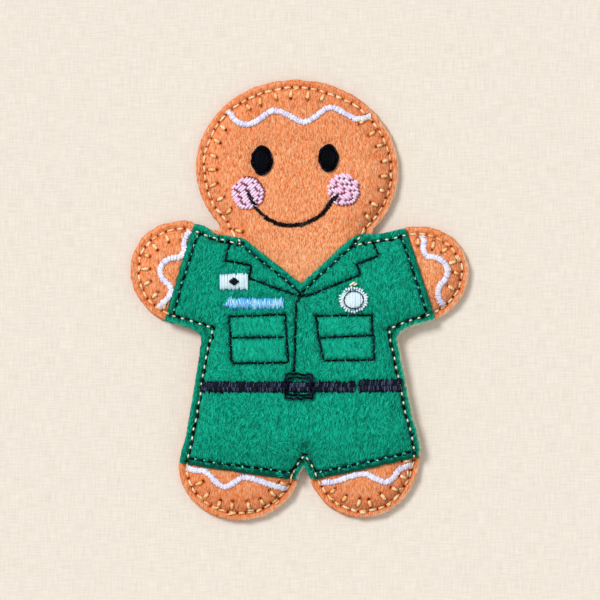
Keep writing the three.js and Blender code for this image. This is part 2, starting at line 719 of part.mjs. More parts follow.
function buildIcing() {
  const fine = ICING_WIDTH / 4;
  const onOrange = ([x, y]) => uniform(x, y) > ICING_WIDTH / 2 + THREAD_GAP && -figure(x, y) > icingInset;
  Object.entries(ICING).forEach(([name, { carrier, shares }]) => {
    const line = longestStretch(smooth(shares.map(carrier), fine), onOrange);
    icingLines[name] = line;
    add("icing_" + name, satinBand(spaced(line, ICING_WIDTH), ICING_WIDTH, ICING_HEIGHT, frontTop), whiteThread);
  });
}

// The blanket stitch of a head, hand or foot: a spine along the seam with prongs that point inwards.
function blanketStitch(spine, icing) {
  const bases = spaced(spine, PRONG_PITCH);
  const clear = ICING_WIDTH / 2 + SEAM_THREAD / 2 + THREAD_GAP;
  let joined = toSolid(threadRun(bases, SEAM_THREAD, frontTop));
  sideways(bases, false).forEach(([sx, sy], i) => {
    const [x, y] = bases[i];
    const length = Math.hypot(sx, sy);
    const along = (share) => [
      x + (sx * share * PRONG_LENGTH) / length,
      y + (sy * share * PRONG_LENGTH) / length,
    ];
    const prong = [along(0), along(1)];
    const blocked = prong.some((p) => icing.some((q) => gap2(p, q) < clear) || uniform(...p) < clear);
    if (!blocked) joined = joined.add(toSolid(threadRun(prong, SEAM_THREAD, frontTop)));
  });
  return fromSolid(joined);
}

function buildBlanketStitches() {
  const bare = (p) => uniform(...p) > climb + SEAM_THREAD;
  const spine = levelLoops(figure, -blanketInset)[0];
  const start = spine.findIndex((p) => !bare(p));
  const turned = [...spine.slice(start), ...spine.slice(0, start)];
  const owners = {
    head: [HEAD_DRIFT, headY],
    left_hand: [leftHand.x, leftHand.y],
    right_hand: [rightHand.x, rightHand.y],
    left_foot: [leftFoot.x, leftFoot.y],
    right_foot: [rightFoot.x, rightFoot.y],
  };
  Object.entries(owners).forEach(([name, middle]) => {
    const others = Object.values(owners).filter((o) => o !== middle);
    const nearest = (p) => others.every((o) => gap2(p, middle) < gap2(p, o));
    const arc = longestStretch(turned, (p) => bare(p) && nearest(p));
    add("blanket_stitch_" + name, blanketStitch(arc, icingLines[name]), goldThread);
  });
}

// The face: satin eyes, filled cheeks and a smile that runs up onto both cheeks.
const EYE_SHARES = { left: [-0.35, 0.11], right: [0.305, 0.105] };
const CHEEK_SHARES = { left: [-0.505, -0.25], right: [0.44, -0.255] };
const SMILE_SHARES = [[-0.5, -0.25], [-0.47, -0.37], [-0.36, -0.52], [-0.18, -0.62], [-0.05, -0.64],
  [0.08, -0.62], [0.22, -0.56], [0.31, -0.46], [0.36, -0.34]];

function buildFace() {
  for (const side of ["left", "right"]) {
    const eye = roundEdge(EYE_WIDTH, EYE_HEIGHT, 14);
    add(side + "_eye", filledPatch(onHead(EYE_SHARES[side]), eye, FILL_HEIGHT, frontTop), blackThread);
    const cheek = roundEdge(CHEEK_WIDTH, CHEEK_WIDTH, 18);
    add(side + "_cheek", filledPatch(onHead(CHEEK_SHARES[side]), cheek, FILL_HEIGHT, frontTop), pinkThread);
  }
  const cheeks = Object.values(CHEEK_SHARES).map(onHead);
  const overCheek = (p) => cheeks.some((c) => gap2(p, c) < CHEEK_WIDTH / 2 + climb);
  const faceTop = (x, y) => frontTop(x, y) + (overCheek([x, y]) ? FILL_HEIGHT + THREAD_SEAT : 0);
  add("smile", threadRun(smooth(SMILE_SHARES.map(onHead), STITCH_PITCH), SMILE_THREAD, faceTop), blackThread);
}

// The jacket's drawn lines, as shares of half the chest's width from the armpit level.
const LAPEL_SHARES = {
  left: [[-0.71, 0.93], [-0.76, 0.77], [-0.49, 0.72], [-0.52, 0.59], [-0.06, 0.42]],
  right: [[0.75, 0.92], [0.8, 0.82], [0.58, 0.73], [0.61, 0.62], [0.07, 0.41]],
};
const PLACKET_SHARES = [[0.005, 0.4], [-0.04, 0.34], [-0.05, -0.01], [-0.06, -0.37]];
const POCKET_SHARES = {
  left: [[-0.72, 0.2], [-0.7, -0.24], [-0.67, -0.28], [-0.12, -0.27], [-0.15, 0.22]],
  right: [[0.16, 0.21], [0.19, -0.02], [0.24, -0.25], [0.77, -0.24], [0.73, 0.23]],
};
const FLAP_SHARES = { left: [[-0.66, -0.02], [-0.19, -0.01]], right: [[0.25, -0.02], [0.7, 0.01]] };

function buildJacket() {
  const line = (name, shares, closed = false) => {
    const holes = cornerStitches(shares.map(onChest), closed);
    add(name, threadRun(holes, LINE_THREAD, uniformTop, closed), blackThread);
  };
  for (const side of ["left", "right"]) {
    line(side + "_lapel_line", LAPEL_SHARES[side]);
    line(side + "_pocket", POCKET_SHARES[side], true);
    line(side + "_pocket_flap", FLAP_SHARES[side]);
  }
  line("front_placket", PLACKET_SHARES);
}

// The belt, its loose end and its buckle, whose frame crosses over the belt.
const BELT_END_SHARE = 0.6; // where the loose end starts, as a share of half the chest's width
const BELT_GAP = 0.6;

function buildBelt() {
  const clear = SEAM_INSET + 2 * seamSpacing + THREAD_GAP;
  const inside = ([x, y]) => -figure(x, y) > clear;
  const reach = ARM_SPAN / 2;
  const level = longestStretch(spaced([[-reach, beltY], [reach, beltY]], BELT_GAP / 2), inside);
  const split = (BELT_END_SHARE * CHEST_WIDTH) / 2;
  const strap = level.filter(([x]) => x < split);
  const end = level.filter(([x]) => x > split + BELT_GAP).map(([x, y]) => [x, y + BELT_END_RISE]);
  const pitch = REACH_SHARE * BELT_WIDTH;
  const band = (line, width) => satinBand(spaced(line, pitch), width, ICING_HEIGHT, uniformTop);
  add("belt", band(strap, BELT_WIDTH), navyThread);
  add("belt_end", band(end, BELT_END_WIDTH), navyThread);

  const overBelt = (x, y) => uniformTop(x, y) + ICING_HEIGHT + THREAD_SEAT;
  const frame = squareEdge(BUCKLE_WIDTH, BUCKLE_HEIGHT).map(([x, y]) => [x, beltY + y]);
  add("buckle", satinBand(frame, BUCKLE_RAIL, FILL_HEIGHT, overBelt, true), blackThread);
}

// The chest's patch, name strip and round badge, all plain.
const PATCH_RISE_SHARE = 0.555;
const STRIP_SHARE = [-0.475, 0.335];
const BADGE_PLACE_SHARE = 0.545;

function buildInsignia() {
  const over = (x, y) => uniformTop(x, y) + FILL_HEIGHT + THREAD_SEAT;
  const lapelCorner = onChest(LAPEL_SHARES.left[3]);
  const patch = [
    lapelCorner[0] - LINE_THREAD - THREAD_GAP - PATCH_WIDTH / 2,
    onChest([0, PATCH_RISE_SHARE])[1],
  ];
  add("chest_patch", filledPatch(patch, squareEdge(PATCH_WIDTH, PATCH_HEIGHT), FILL_HEIGHT, uniformTop), whiteThread);
  add("patch_mark", filledPatch(patch, roundEdge(MARK_WIDTH, MARK_WIDTH, 4), FILL_HEIGHT, over), navyThread);

  const [x, y] = onChest(STRIP_SHARE);
  const strip = [[x - STRIP_LENGTH / 2, y], [x + STRIP_LENGTH / 2, y]];
  add("name_strip", satinBand(spaced(strip, STRIP_WIDTH), STRIP_WIDTH, FILL_HEIGHT, uniformTop), blueThread);

  const pocketTop = onChest(POCKET_SHARES.right.at(-1))[1];
  const badge = [
    onChest([BADGE_PLACE_SHARE, 0])[0],
    pocketTop + LINE_THREAD + THREAD_GAP + BADGE_DIAMETER / 2,
  ];
  const edge = roundEdge(BADGE_DIAMETER, BADGE_DIAMETER, 18);
  add("round_badge", filledPatch(badge, edge, FILL_HEIGHT, uniformTop), whiteThread);
  const ring = roundEdge(BADGE_DIAMETER, BADGE_DIAMETER, 14).map(([dx, dy]) => [
    badge[0] + dx * (1 - SATIN_CROWN_SHARE / 2),
    badge[1] + dy * (1 - SATIN_CROWN_SHARE / 2),
  ]);
  add("badge_ring", satinBand(ring, BADGE_RING, FILL_HEIGHT, over, true), navyThread);
}

buildFelt();
buildSeams();
buildIcing();
buildBlanketStitches();
buildFace();
buildJacket();
buildBelt();
buildInsignia();

// The origin is the middle of the back's rectangle.
const extent = new THREE.Box3().setFromObject(decoration);
const middle = extent.getCenter(new THREE.Vector3());
decoration.children.forEach((mesh) => mesh.geometry.translate(-middle.x, -middle.y, 0));

export default decoration;
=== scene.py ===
"""A felt gingerbread decoration, sewn by an embroidery machine and lying on a pale floor."""

import math

import bmesh
import bpy
import numpy as np
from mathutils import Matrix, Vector
from mathutils.geometry import delaunay_2d_cdt


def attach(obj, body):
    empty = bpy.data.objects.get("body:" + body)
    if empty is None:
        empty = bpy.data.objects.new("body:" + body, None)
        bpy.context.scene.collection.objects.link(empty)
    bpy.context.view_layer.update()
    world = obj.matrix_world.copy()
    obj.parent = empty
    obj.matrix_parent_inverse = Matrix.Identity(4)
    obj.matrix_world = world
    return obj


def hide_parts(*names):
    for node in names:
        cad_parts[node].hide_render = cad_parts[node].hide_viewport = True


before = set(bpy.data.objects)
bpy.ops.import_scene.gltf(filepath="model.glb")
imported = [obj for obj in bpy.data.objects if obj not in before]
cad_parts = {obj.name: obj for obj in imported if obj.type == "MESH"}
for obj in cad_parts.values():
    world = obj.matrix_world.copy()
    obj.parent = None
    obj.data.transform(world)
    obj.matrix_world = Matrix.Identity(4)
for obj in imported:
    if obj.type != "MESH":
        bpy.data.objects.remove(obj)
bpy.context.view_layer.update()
chance = np.random.default_rng(20)
MM = 0.001
SIDES = ("left", "right")

# Sizes from part.mjs, in millimetres.
FELT_THICKNESS = 1.1
LAYER_GAP = 0.2
LOFT = 2.2
LOFT_REACH = 7
LEDGE = 2.1
SEAM_INSET = 1.7
UNIFORM_SEAM_INSET = 1.4
STITCH_PITCH = 2.1
BELT_WIDTH = 2.7
BELT_END_WIDTH = 3.2
BUCKLE_WIDTH = 6.8
BUCKLE_HEIGHT = 5.7
EYE_WIDTH = 5.1
EYE_HEIGHT = 7.0
CHEEK_WIDTH = 7.5
PATCH_WIDTH = 6.4
PATCH_HEIGHT = 4
MARK_WIDTH = 2.2
STRIP_LENGTH = 14
STRIP_WIDTH = 2.6
BADGE_WIDTH = 6.4
ICING_WIDTH = 1.3
BELT_Y = -19.85
CHEST_HALF = 22.5
ARMPIT_Y = -8.15

# Each carrier's middle, half sizes and tilt.
CARRIERS = {
    "head": (-0.5, 30.25, 23.35, 20.5, math.radians(2.5)),
    "left_hand": (-26.75, 6.05, 12.25, 12.25, 0),
    "right_hand": (26.75, 5.65, 12.25, 11.85, 0),
    "left_foot": (-13.775, -38.35, 13.975, 12.4, 0),
    "right_foot": (14.925, -38.35, 13.325, 11.7, 0),
}


def on(carrier, shares):
    """Points at shares of a carrier's half sizes."""
    x, y, half_x, half_y, tilt = CARRIERS[carrier]
    u, v = np.array(shares, float).T * [[half_x], [half_y]]
    c, s = math.cos(tilt), math.sin(tilt)
    return np.column_stack([x + u * c - v * s, y + u * s + v * c])


def on_chest(shares):
    """Points at shares of the chest's half width, measured from between the armpits."""
    return np.array(shares, float) * CHEST_HALF + [0, ARMPIT_Y]


# Outlines and distances.
def longest_loop(pairs, places):
    """The places along the longest chain of linked keys."""
    links = {}
    for a, b in pairs:
        links.setdefault(a, []).append(b)
        links.setdefault(b, []).append(a)
    loops, seen = [], set()
    for start in links:
        loop, here = [], start
        while here is not None and here not in seen:
            seen.add(here)
            loop.append(places[here])
            here = next((key for key in links[here] if key not in seen), None)
        loops.append(loop)
    return np.array(max(loops, key=len))


def outline_of(node):
    """The node's outline from above, taken where its underside meets its walls."""
    work = bmesh.new()
    work.from_mesh(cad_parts[node].data)
    bmesh.ops.remove_doubles(work, verts=work.verts, dist=1e-6)
    work.normal_update()
    rim = [tuple(edge.verts) for edge in work.edges
           if sorted(face.normal.z < -0.2 for face in edge.link_faces) == [False, True]]
    places = {vertex: [vertex.co.x / MM, vertex.co.y / MM] for pair in rim for vertex in pair}
    loop = longest_loop(rim, places)
    work.free()
    return loop


def resampled(line, step, closed=False):
    """The line with evenly spaced points, about a step apart."""
    line = np.asarray(line, float)
    if closed:
        line = np.vstack([line, line[:1]])
    lengths = np.concatenate([[0], np.cumsum(np.hypot(*np.diff(line, axis=0).T))])
    count = max(2, round(lengths[-1] / step))
    at = np.linspace(0, lengths[-1], count + (not closed), endpoint=not closed)
    return np.column_stack([np.interp(at, lengths, line[:, k]) for k in range(line.shape[1])])


def smoothed(line, step=0.3):
    """A smooth curve through the points."""
    p = np.asarray(line, float)
    p = np.vstack([2 * p[0] - p[1], p, 2 * p[-1] - p[-2]])
    t = np.linspace(0, 1, 12, endpoint=False)[:, None]
    spans = []
    for a, b, c, d in zip(p, p[1:], p[2:], p[3:]):
        squared = 2 * a - 5 * b + 4 * c - d
        cubed = 3 * b - a - 3 * c + d
        spans.append(0.5 * (2 * b + (c - a) * t + squared * t**2 + cubed * t**3))
    return resampled(np.vstack(spans + [p[-2:-1]]), step)


class Grid:
    """Values on a square grid over the figure, read between its points too."""

    STEP = 0.25
    LOW = np.array([-43.0, -55.0])
    SHAPE = (345, 441)
    X, Y = np.meshgrid(LOW[0] + STEP * np.arange(SHAPE[0]), LOW[1] + STEP * np.arange(SHAPE[1]),
                       indexing="ij")

    def __init__(self, values):
        self.values = values

    def __call__(self, points):
        at = (np.asarray(points, float)[..., :2] - self.LOW) / self.STEP
        at = np.clip(at, 0, np.array(self.SHAPE) - 1.001)
        cell = at.astype(int)
        i, j = cell[..., 0], cell[..., 1]
        s, t = at[..., 0] - i, at[..., 1] - j
        v = self.values
        lower = v[i, j] * (1 - s) + v[i + 1, j] * s
        upper = v[i, j + 1] * (1 - s) + v[i + 1, j + 1] * s
        return lower * (1 - t) + upper * t


FLAT = np.zeros(Grid.SHAPE)


def distance_grid(outline):
    """Signed distance to an outline, below zero inside."""
    x, y = Grid.X, Grid.Y
    nearest = np.full(x.shape, np.inf)
    inside = np.zeros(x.shape, bool)
    for (ax, ay), (bx, by) in zip(outline, np.roll(outline, -1, 0)):
        dx, dy = bx - ax, by - ay
        t = np.clip(((x - ax) * dx + (y - ay) * dy) / max(dx * dx + dy * dy, 1e-12), 0, 1)
        nearest = np.minimum(nearest, (x - ax - t * dx) ** 2 + (y - ay - t * dy) ** 2)
        if ay != by:
            inside ^= ((ay > y) != (by > y)) & (x < ax + (y - ay) * dx / dy)
    return Grid(np.where(inside, -1, 1) * np.sqrt(nearest))


def level_line(values, level):
    """The longest closed line on which grid values have the level."""
    v = values - level
    below = (v < 0).astype(int)
    places, pairs = {}, []

    def crossing(a, b):
        """The key of the side between two grid points, with its crossing noted under it."""
        key = (a, b) if a < b else (b, a)
        s = v[a] / (v[a] - v[b])
        places.setdefault(key, [(1 - s) * axis[a] + s * axis[b] for axis in (Grid.X, Grid.Y)])
        return key

    mixed = below[:-1, :-1] + below[1:, :-1] + below[1:, 1:] + below[:-1, 1:]
    for i, j in np.argwhere((mixed > 0) & (mixed < 4)):
        corners = [(i, j), (i + 1, j), (i + 1, j + 1), (i, j + 1)]
        sides = zip(corners, corners[1:] + corners[:1])
        cuts = [crossing(a, b) for a, b in sides if below[a] != below[b]]
        pairs += zip(cuts[::2], cuts[1::2])
    return longest_loop(pairs, places)


figure_edge = outline_of("back_felt")
uniform_edge = outline_of("uniform_felt")
figure = distance_grid(figure_edge)
uniform = distance_grid(uniform_edge)


# Sewn lines, as shares of a carrier's half sizes or of the chest's half width.
ICING_SHARES = {
    "head": [
        [-0.72, 0.72], [-0.66, 0.68], [-0.58, 0.56], [-0.47, 0.52], [-0.37, 0.56], [-0.22, 0.66],
        [-0.1, 0.62], [0.07, 0.52], [0.19, 0.57], [0.33, 0.67], [0.44, 0.63], [0.6, 0.53], [0.74, 0.56],
        [0.8, 0.58]],
    "left_hand": [
        [0.2, 0.98], [0.15, 0.88], [0.03, 0.66], [0.01, 0.53], [0.04, 0.43], [-0.06, 0.32],
        [-0.22, 0.3], [-0.36, 0.22], [-0.44, 0.08], [-0.39, -0.09], [-0.27, -0.2], [-0.22, -0.32],
        [-0.28, -0.44], [-0.46, -0.62], [-0.52, -0.7]],
    "right_hand": [
        [0.08, 0.92], [0.09, 0.83], [0.14, 0.67], [0.13, 0.5], [0.2, 0.38], [0.38, 0.35], [0.53, 0.24],
        [0.59, 0.07], [0.53, -0.08], [0.42, -0.22], [0.41, -0.4], [0.49, -0.54], [0.61, -0.59],
        [0.68, -0.62]],
    "left_foot": [
        [-0.95, 0.02], [-0.86, -0.02], [-0.71, -0.06], [-0.56, -0.08], [-0.35, -0.31], [-0.2, -0.35],
        [0.04, -0.19], [0.22, -0.21], [0.48, -0.31], [0.78, -0.41], [0.88, -0.42]],
    "right_foot": [
        [-0.9, -0.33], [-0.79, -0.31], [-0.5, -0.27], [-0.22, -0.16], [0, -0.12], [0.17, -0.21],
        [0.36, -0.29], [0.5, -0.19], [0.6, -0.04], [0.85, 0.06], [0.95, 0.1]],
}
FACE_SHARES = {"left_eye": [-0.35, 0.11], "right_eye": [0.305, 0.105],
               "left_cheek": [-0.505, -0.25], "right_cheek": [0.44, -0.255]}
SMILE_SHARES = [
    [-0.5, -0.24], [-0.46, -0.35], [-0.415, -0.44], [-0.335, -0.53], [-0.23, -0.6], [-0.1, -0.63],
    [0.025, -0.62], [0.13, -0.58], [0.22, -0.51], [0.28, -0.44], [0.31, -0.38], [0.355, -0.345]]
JACKET_SHARES = {
    "left_lapel_line": [[-0.715, 0.96], [-0.76, 0.77], [-0.49, 0.72], [-0.52, 0.59], [-0.06, 0.42]],
    "right_lapel_line": [[0.745, 0.95], [0.8, 0.82], [0.58, 0.73], [0.61, 0.62], [0.07, 0.41]],
    "left_pocket": [
        [-0.72, 0.2], [-0.7, -0.24], [-0.67, -0.28], [-0.12, -0.27], [-0.15, 0.22], [-0.72, 0.2]],
    "right_pocket": [
        [0.16, 0.21], [0.19, -0.02], [0.24, -0.25], [0.76, -0.24], [0.73, 0.215], [0.16, 0.205]],
    "left_pocket_flap": [[-0.7, -0.02], [-0.16, -0.01]],
    "right_pocket_flap": [[0.2, -0.02], [0.74, 0.01]],
    "front_placket": [[0.005, 0.4], [-0.04, 0.34], [-0.05, -0.01], [-0.06, -0.37]],
}

# The middles of the face's parts and of the badges, in millimetres.
PLACES = {
    **dict(zip(FACE_SHARES, on("head", list(FACE_SHARES.values())))),
    "chest_patch": np.array([-15.1, 4.34]),
    "name_strip": on_chest([[-0.475, 0.335]])[0],
    "round_badge": np.array([12.3, 0.15]),
}

# Where the seams turn sharply: at the neck, the armpits, the legs and the collar.
GOLD_CORNERS = [[-13.0, 12.5], [11.8, 12.5], [-19.7, -6.3], [20.1, -6.6], [1.0, -35.1]]
BLACK_CORNERS = [[0.2, 1.5]]


def enclosed(points, line, gap):
    """Whether each point lies inside a closed line, at least a gap away from it."""
    x, y = np.moveaxis(line[None] - points[:, None], 2, 0)
    angle = np.unwrap(np.arctan2(y, x), axis=1)
    return (np.abs(angle[:, -1] - angle[:, 0]) > math.pi) & (np.min(np.hypot(x, y), axis=1) > gap)


def cornered(line, corners, reach):
    """The closed line with its round turns near the given corners made sharp."""
    for corner in np.array(corners):
        far = np.argmax(np.hypot(*(line - corner).T))
        line = np.roll(line, -far, 0)
        apart = np.hypot(*(line - corner).T)
        near = np.flatnonzero(apart < max(reach, apart.min() + 1))
        line = np.vstack([line[: near[0]], corner, line[near[-1] + 1 :]])
    return resampled(line, 0.25, True)


def icing_line(part, shares):
    """The icing's middle line, where it lies on bare orange felt."""
    line = smoothed(on(part, shares))
    inset = SEAM_INSET - 0.5 if part == "head" else SEAM_INSET + 0.2
    return line[(uniform(line) > 0.5) & (figure(line) < -inset)]


gold_line = cornered(level_line(figure.values, -SEAM_INSET), GOLD_CORNERS, 4.5)
black_line = cornered(level_line(uniform.values, -UNIFORM_SEAM_INSET), BLACK_CORNERS, 3)
icing_lines = {part: icing_line(part, shares) for part, shares in ICING_SHARES.items()}
smile_line = smoothed(on("head", SMILE_SHARES))
belt_row = np.array([[x, BELT_Y] for x in np.arange(-30, 30, 0.1)])
belt_row = belt_row[figure(belt_row) < -SEAM_INSET + 0.1]


# Prongs of the blanket stitch, as pairs of a foot on the seam and a tip further in.
PRONG_PITCH = 3.85
PRONG_LENGTH = 1.5
PRONG_GAP = 0.85


def inwards(points):
    """Unit directions away from the nearest edge."""
    reach = 0.4
    steps = np.array([reach, 0]), np.array([0, reach])
    slope = -np.column_stack([figure(points + step) - figure(points - step) for step in steps])
    return slope / np.maximum(np.hypot(*slope.T), 1e-9)[:, None]


def prongs():
    """Each prong's foot, its tip and the number of the carrier it lies on."""
    feet = resampled(gold_line, PRONG_PITCH, True)
    feet = feet[uniform(feet) > 0.9]
    feet = feet + inwards(feet) * PRONG_GAP + chance.normal(0, 0.12, feet.shape)
    tips = feet + inwards(feet) * (PRONG_LENGTH + chance.normal(0, 0.15, (len(feet), 1)))
    tips = tips + chance.normal(0, 0.2, tips.shape)
    icing = np.vstack(list(icing_lines.values()))
    clear = np.min(np.hypot(*(tips[:, None] - icing[None]).T), axis=0) > 0.5 * ICING_WIDTH
    feet, tips = feet[clear], tips[clear]
    middles = np.array([carrier[:2] for carrier in CARRIERS.values()])
    owner = np.argmin(np.hypot(*(feet[:, None] - middles[None]).T).T, axis=1)
    return feet, tips, owner


feet, tips, prong_owner = prongs()


# How far the stitches press the felt down.
def pressed(lines):
    """A grid of depths from (line, depth, half width) entries."""
    depth = np.zeros(Grid.SHAPE)
    for line, deep, wide in lines:
        cells = math.ceil(2.5 * wide / Grid.STEP)
        for place in resampled(line, 0.25):
            i, j = np.round((place - Grid.LOW) / Grid.STEP).astype(int)
            window = (slice(i - cells, i + cells + 1), slice(j - cells, j + cells + 1))
            gap = (Grid.X[window] - place[0]) ** 2 + (Grid.Y[window] - place[1]) ** 2
            depth[window] = np.maximum(depth[window], deep * np.exp(-gap / wide**2))
    return depth


def ripples(size, height, count=30):
    """Soft random waves of about this length and height."""
    total = np.zeros(Grid.SHAPE)
    for _ in range(count):
        angle, phase = chance.uniform(0, 2 * math.pi, 2)
        pitch = 2 * math.pi / (size * chance.uniform(0.7, 1.5))
        total += np.sin((Grid.X * math.cos(angle) + Grid.Y * math.sin(angle)) * pitch + phase)
    return total * height * math.sqrt(2 / count)


def round_line(place, width, height, power=1.0):
    """A closed oval. A power over 1 makes it more pointed."""
    angles = np.linspace(0, 2 * math.pi, 49)
    u, v = (np.sign(w) * np.abs(w) ** power for w in (np.cos(angles), np.sin(angles)))
    return place + np.column_stack([width / 2 * u, height / 2 * v])


def square_line(place, width, height):
    corners = np.array([[-1, -1], [1, -1], [1, 1], [-1, 1], [-1, -1]]) / 2
    return place + corners * [width, height]


CROTCH_LINE = np.array([[1.1, -32.5], [1.1, -36.5]])
patch_edge = square_line(PLACES["chest_patch"], PATCH_WIDTH, PATCH_HEIGHT)
strip_edge = square_line(PLACES["name_strip"], STRIP_LENGTH, STRIP_WIDTH)
badge_edge = round_line(PLACES["round_badge"], BADGE_WIDTH, BADGE_WIDTH)

front_press = pressed([
    (gold_line, 0.5, 0.8),
    (smile_line, 0.3, 0.7),
    *((line, 0.3, 1.0) for line in icing_lines.values()),
    *((np.array(prong), 0.3, 0.5) for prong in zip(feet, tips)),
    *((round_line(PLACES[side + "_eye"], EYE_WIDTH, EYE_HEIGHT), 0.3, 0.7) for side in SIDES),
    *((round_line(PLACES[side + "_cheek"], CHEEK_WIDTH, CHEEK_WIDTH), 0.2, 0.8) for side in SIDES),
])
uniform_press = pressed([
    (black_line, 0.5, 0.6),
    (gold_line[uniform(gold_line) < 0], 0.5, 0.6),
    (belt_row, 0.5, 1.5),
    (CROTCH_LINE, 0.4, 1.1),
    *((resampled(on_chest(shares), 0.25), 0.5, 0.65) for shares in JACKET_SHARES.values()),
    *((edge, 0.25, 0.8) for edge in (patch_edge, strip_edge, badge_edge)),
])

# The heights of the felt layers, which keep clear of each other by a small gap.
SKIN = 0.02
CLEARANCE = 0.08
slope = np.clip((-figure.values - LEDGE) / LOFT_REACH, 0, 1)
loft = LOFT * np.sqrt(1 - (1 - slope) ** 2)
under_uniform = np.clip(0.5 - uniform.values, 0, 1)
all_press = np.maximum(front_press * (1 - under_uniform), uniform_press * under_uniform)
unevenness = ripples(5, 0.05) + ripples(1.6, 0.03)
front_top = Grid(2 * FELT_THICKNESS + loft - all_press + unevenness)
front_bottom = Grid(np.maximum(FELT_THICKNESS + SKIN, FELT_THICKNESS + loft - 0.8 * all_press))
uniform_height = 3 * FELT_THICKNESS + LAYER_GAP + loft - uniform_press
uniform_top = Grid(uniform_height + ripples(4, 0.05) + ripples(1.5, 0.03))
uniform_base = 2 * FELT_THICKNESS + LAYER_GAP + loft - uniform_press
uniform_bottom = Grid(np.maximum(front_top.values + CLEARANCE, uniform_base))
back_top = Grid(FELT_THICKNESS + ripples(3, 0.01))
back_bottom = Grid(np.abs(ripples(3, 0.01)) + pressed([(gold_line, 0.5, 0.9)]))


def surface(points):
    """The height of the uppermost felt, without a jump at the uniform's edge."""
    share = np.clip(0.5 - uniform(points) / 0.7, 0, 1)
    return front_top(points) * (1 - share) + uniform_top(points) * share


# Materials.
class Nodes:
    """A node material under construction."""

    def __init__(self, name):
        self.material = bpy.data.materials.new(name)
        self.material.use_nodes = True
        self.tree = self.material.node_tree
        self.shader = self.tree.nodes["Principled BSDF"]

    def add(self, kind, settings=None, **inputs):
        node = self.tree.nodes.new("ShaderNode" + kind)
        for key, value in (settings or {}).items():
            setattr(node, key, value)
        for key, value in inputs.items():
            self.set(node.inputs[key.replace("_", " ")], value)
        return node

    def set(self, socket, value):
        if isinstance(value, bpy.types.NodeSocket):
            self.tree.links.new(value, socket)
        else:
            socket.default_value = value

    def set_all(self, sockets, values):
        for socket, value in zip(sockets, values):
            self.set(socket, value)

    def value(self, name):
        return self.add("Attribute", {"attribute_name": name}).outputs["Fac"]

    def math(self, operation, a, b=0.0, c=0.0):
        node = self.add("Math", {"operation": operation})
        self.set_all(node.inputs, (a, b, c))
        return node.outputs[0]

    def blend(self, factor, a, b):
        node = self.add("Mix", {"data_type": "RGBA"})
        self.set_all((node.inputs[0], node.inputs[6], node.inputs[7]), (factor, a, b))
        return node.outputs[2]

    def ramp(self, factor, *stops):
        node = self.add("ValToRGB", Fac=factor)
        elements = node.color_ramp.elements
        while len(elements) < len(stops):
            elements.new(0.5)
        for element, (at, color) in zip(elements, stops):
            element.position, element.color = at, color
        return node.outputs["Color"]

    def placed(self, turn=0.0, stretch=(1, 1, 1), warp=0.0, warp_size=3.0):
        """The object's coordinates in millimetres, bent by soft noise, turned and stretched."""
        vector = self.add("TexCoord").outputs["Object"]
        vector = self.add("Mapping", Vector=vector, Scale=(1 / MM,) * 3).outputs[0]
        if warp:
            bend = self.add("TexNoise", Vector=vector, Scale=1 / warp_size, Detail=1.0).outputs["Color"]
            shift = self.add("VectorMath", {"operation": "MULTIPLY_ADD"})
            self.set_all(shift.inputs, (bend, (warp,) * 3, vector))
            vector = shift.outputs[0]
        turned = self.add("Mapping", Vector=vector, Rotation=(0, 0, turn)).outputs[0]
        return self.add("Mapping", Vector=turned, Scale=stretch).outputs[0]

    def noise(self, vector, size=1.0, detail=2.0, rough=0.5):
        node = self.add("TexNoise", Vector=vector, Scale=1 / size, Detail=detail, Roughness=rough)
        return node.outputs["Fac"]

    def bump(self, height, distance):
        node = self.add("Bump", Height=height, Distance=distance * MM)
        self.set(self.shader.inputs["Normal"], node.outputs[0])

    def finish(self, color, **settings):
        self.set(self.shader.inputs["Base Color"], color)
        for key, value in settings.items():
            self.shader.inputs[key.replace("_", " ")].default_value = value
        return self.material


def rgb(red, green, blue):
    """A colour from 8-bit values, as the shader wants it."""
    flat = [c / 255 for c in (red, green, blue)]
    return tuple(c / 12.92 if c <= 0.04045 else ((c + 0.055) / 1.055) ** 2.4 for c in flat) + (1.0,)


# Painted highlight: the pale cream of the cut edges that face right and down.
EDGE_HIGHLIGHT = rgb(255, 236, 204)


def felt_material(name, turns, matting, *colors):
    """Matted wool: short strokes along the given turns and soft patches, with painted shade in sewn grooves,
    holes and walls, painted light and a painted edge highlight.
    """
    dark, middle, light, painted_shade, groove = [rgb(*color) for color in colors]
    n = Nodes(name)
    strokes = 0.0
    for turn in turns:
        layer = n.noise(n.placed(turn, (0.75, 3.8, 1), 0.8, 2.2), detail=3.0, rough=0.6)
        strokes = n.math("MAXIMUM", strokes, layer)
    valleys = n.noise(n.placed(turns[0], (1.0, 3.2, 1), 1.0, 1.9), detail=3.0, rough=0.65)
    height = n.math("MULTIPLY_ADD", valleys, matting, n.math("MULTIPLY", strokes, 1.5 - matting))
    patches = n.noise(n.placed(), size=9.0)
    tone = n.math("MULTIPLY_ADD", patches, 0.06, n.math("SUBTRACT", height, 0.03))
    color = n.ramp(tone, (0.65, dark), (0.78, middle), (0.94, light))
    # Painted light from an attribute, which lightens the felt towards its light colour.
    color = n.blend(n.value("painted_light"), color, light)
    # Painted shade from the shade attribute: first towards the shade colour, then towards the deeper groove
    # colour.
    color = n.blend(n.math("MULTIPLY", n.value("shade"), 2.0), color, painted_shade)
    color = n.blend(n.math("MULTIPLY_ADD", n.value("shade"), 1.6, -0.5), color, groove)
    # Painted highlight along the cut edges that face right and down.
    color = n.blend(n.value("pale"), color, EDGE_HIGHLIGHT)
    n.bump(height, 0.3)
    return n.finish(color, Roughness=0.95, Specular_IOR_Level=0.05, Sheen_Weight=0.04, Sheen_Roughness=0.5)


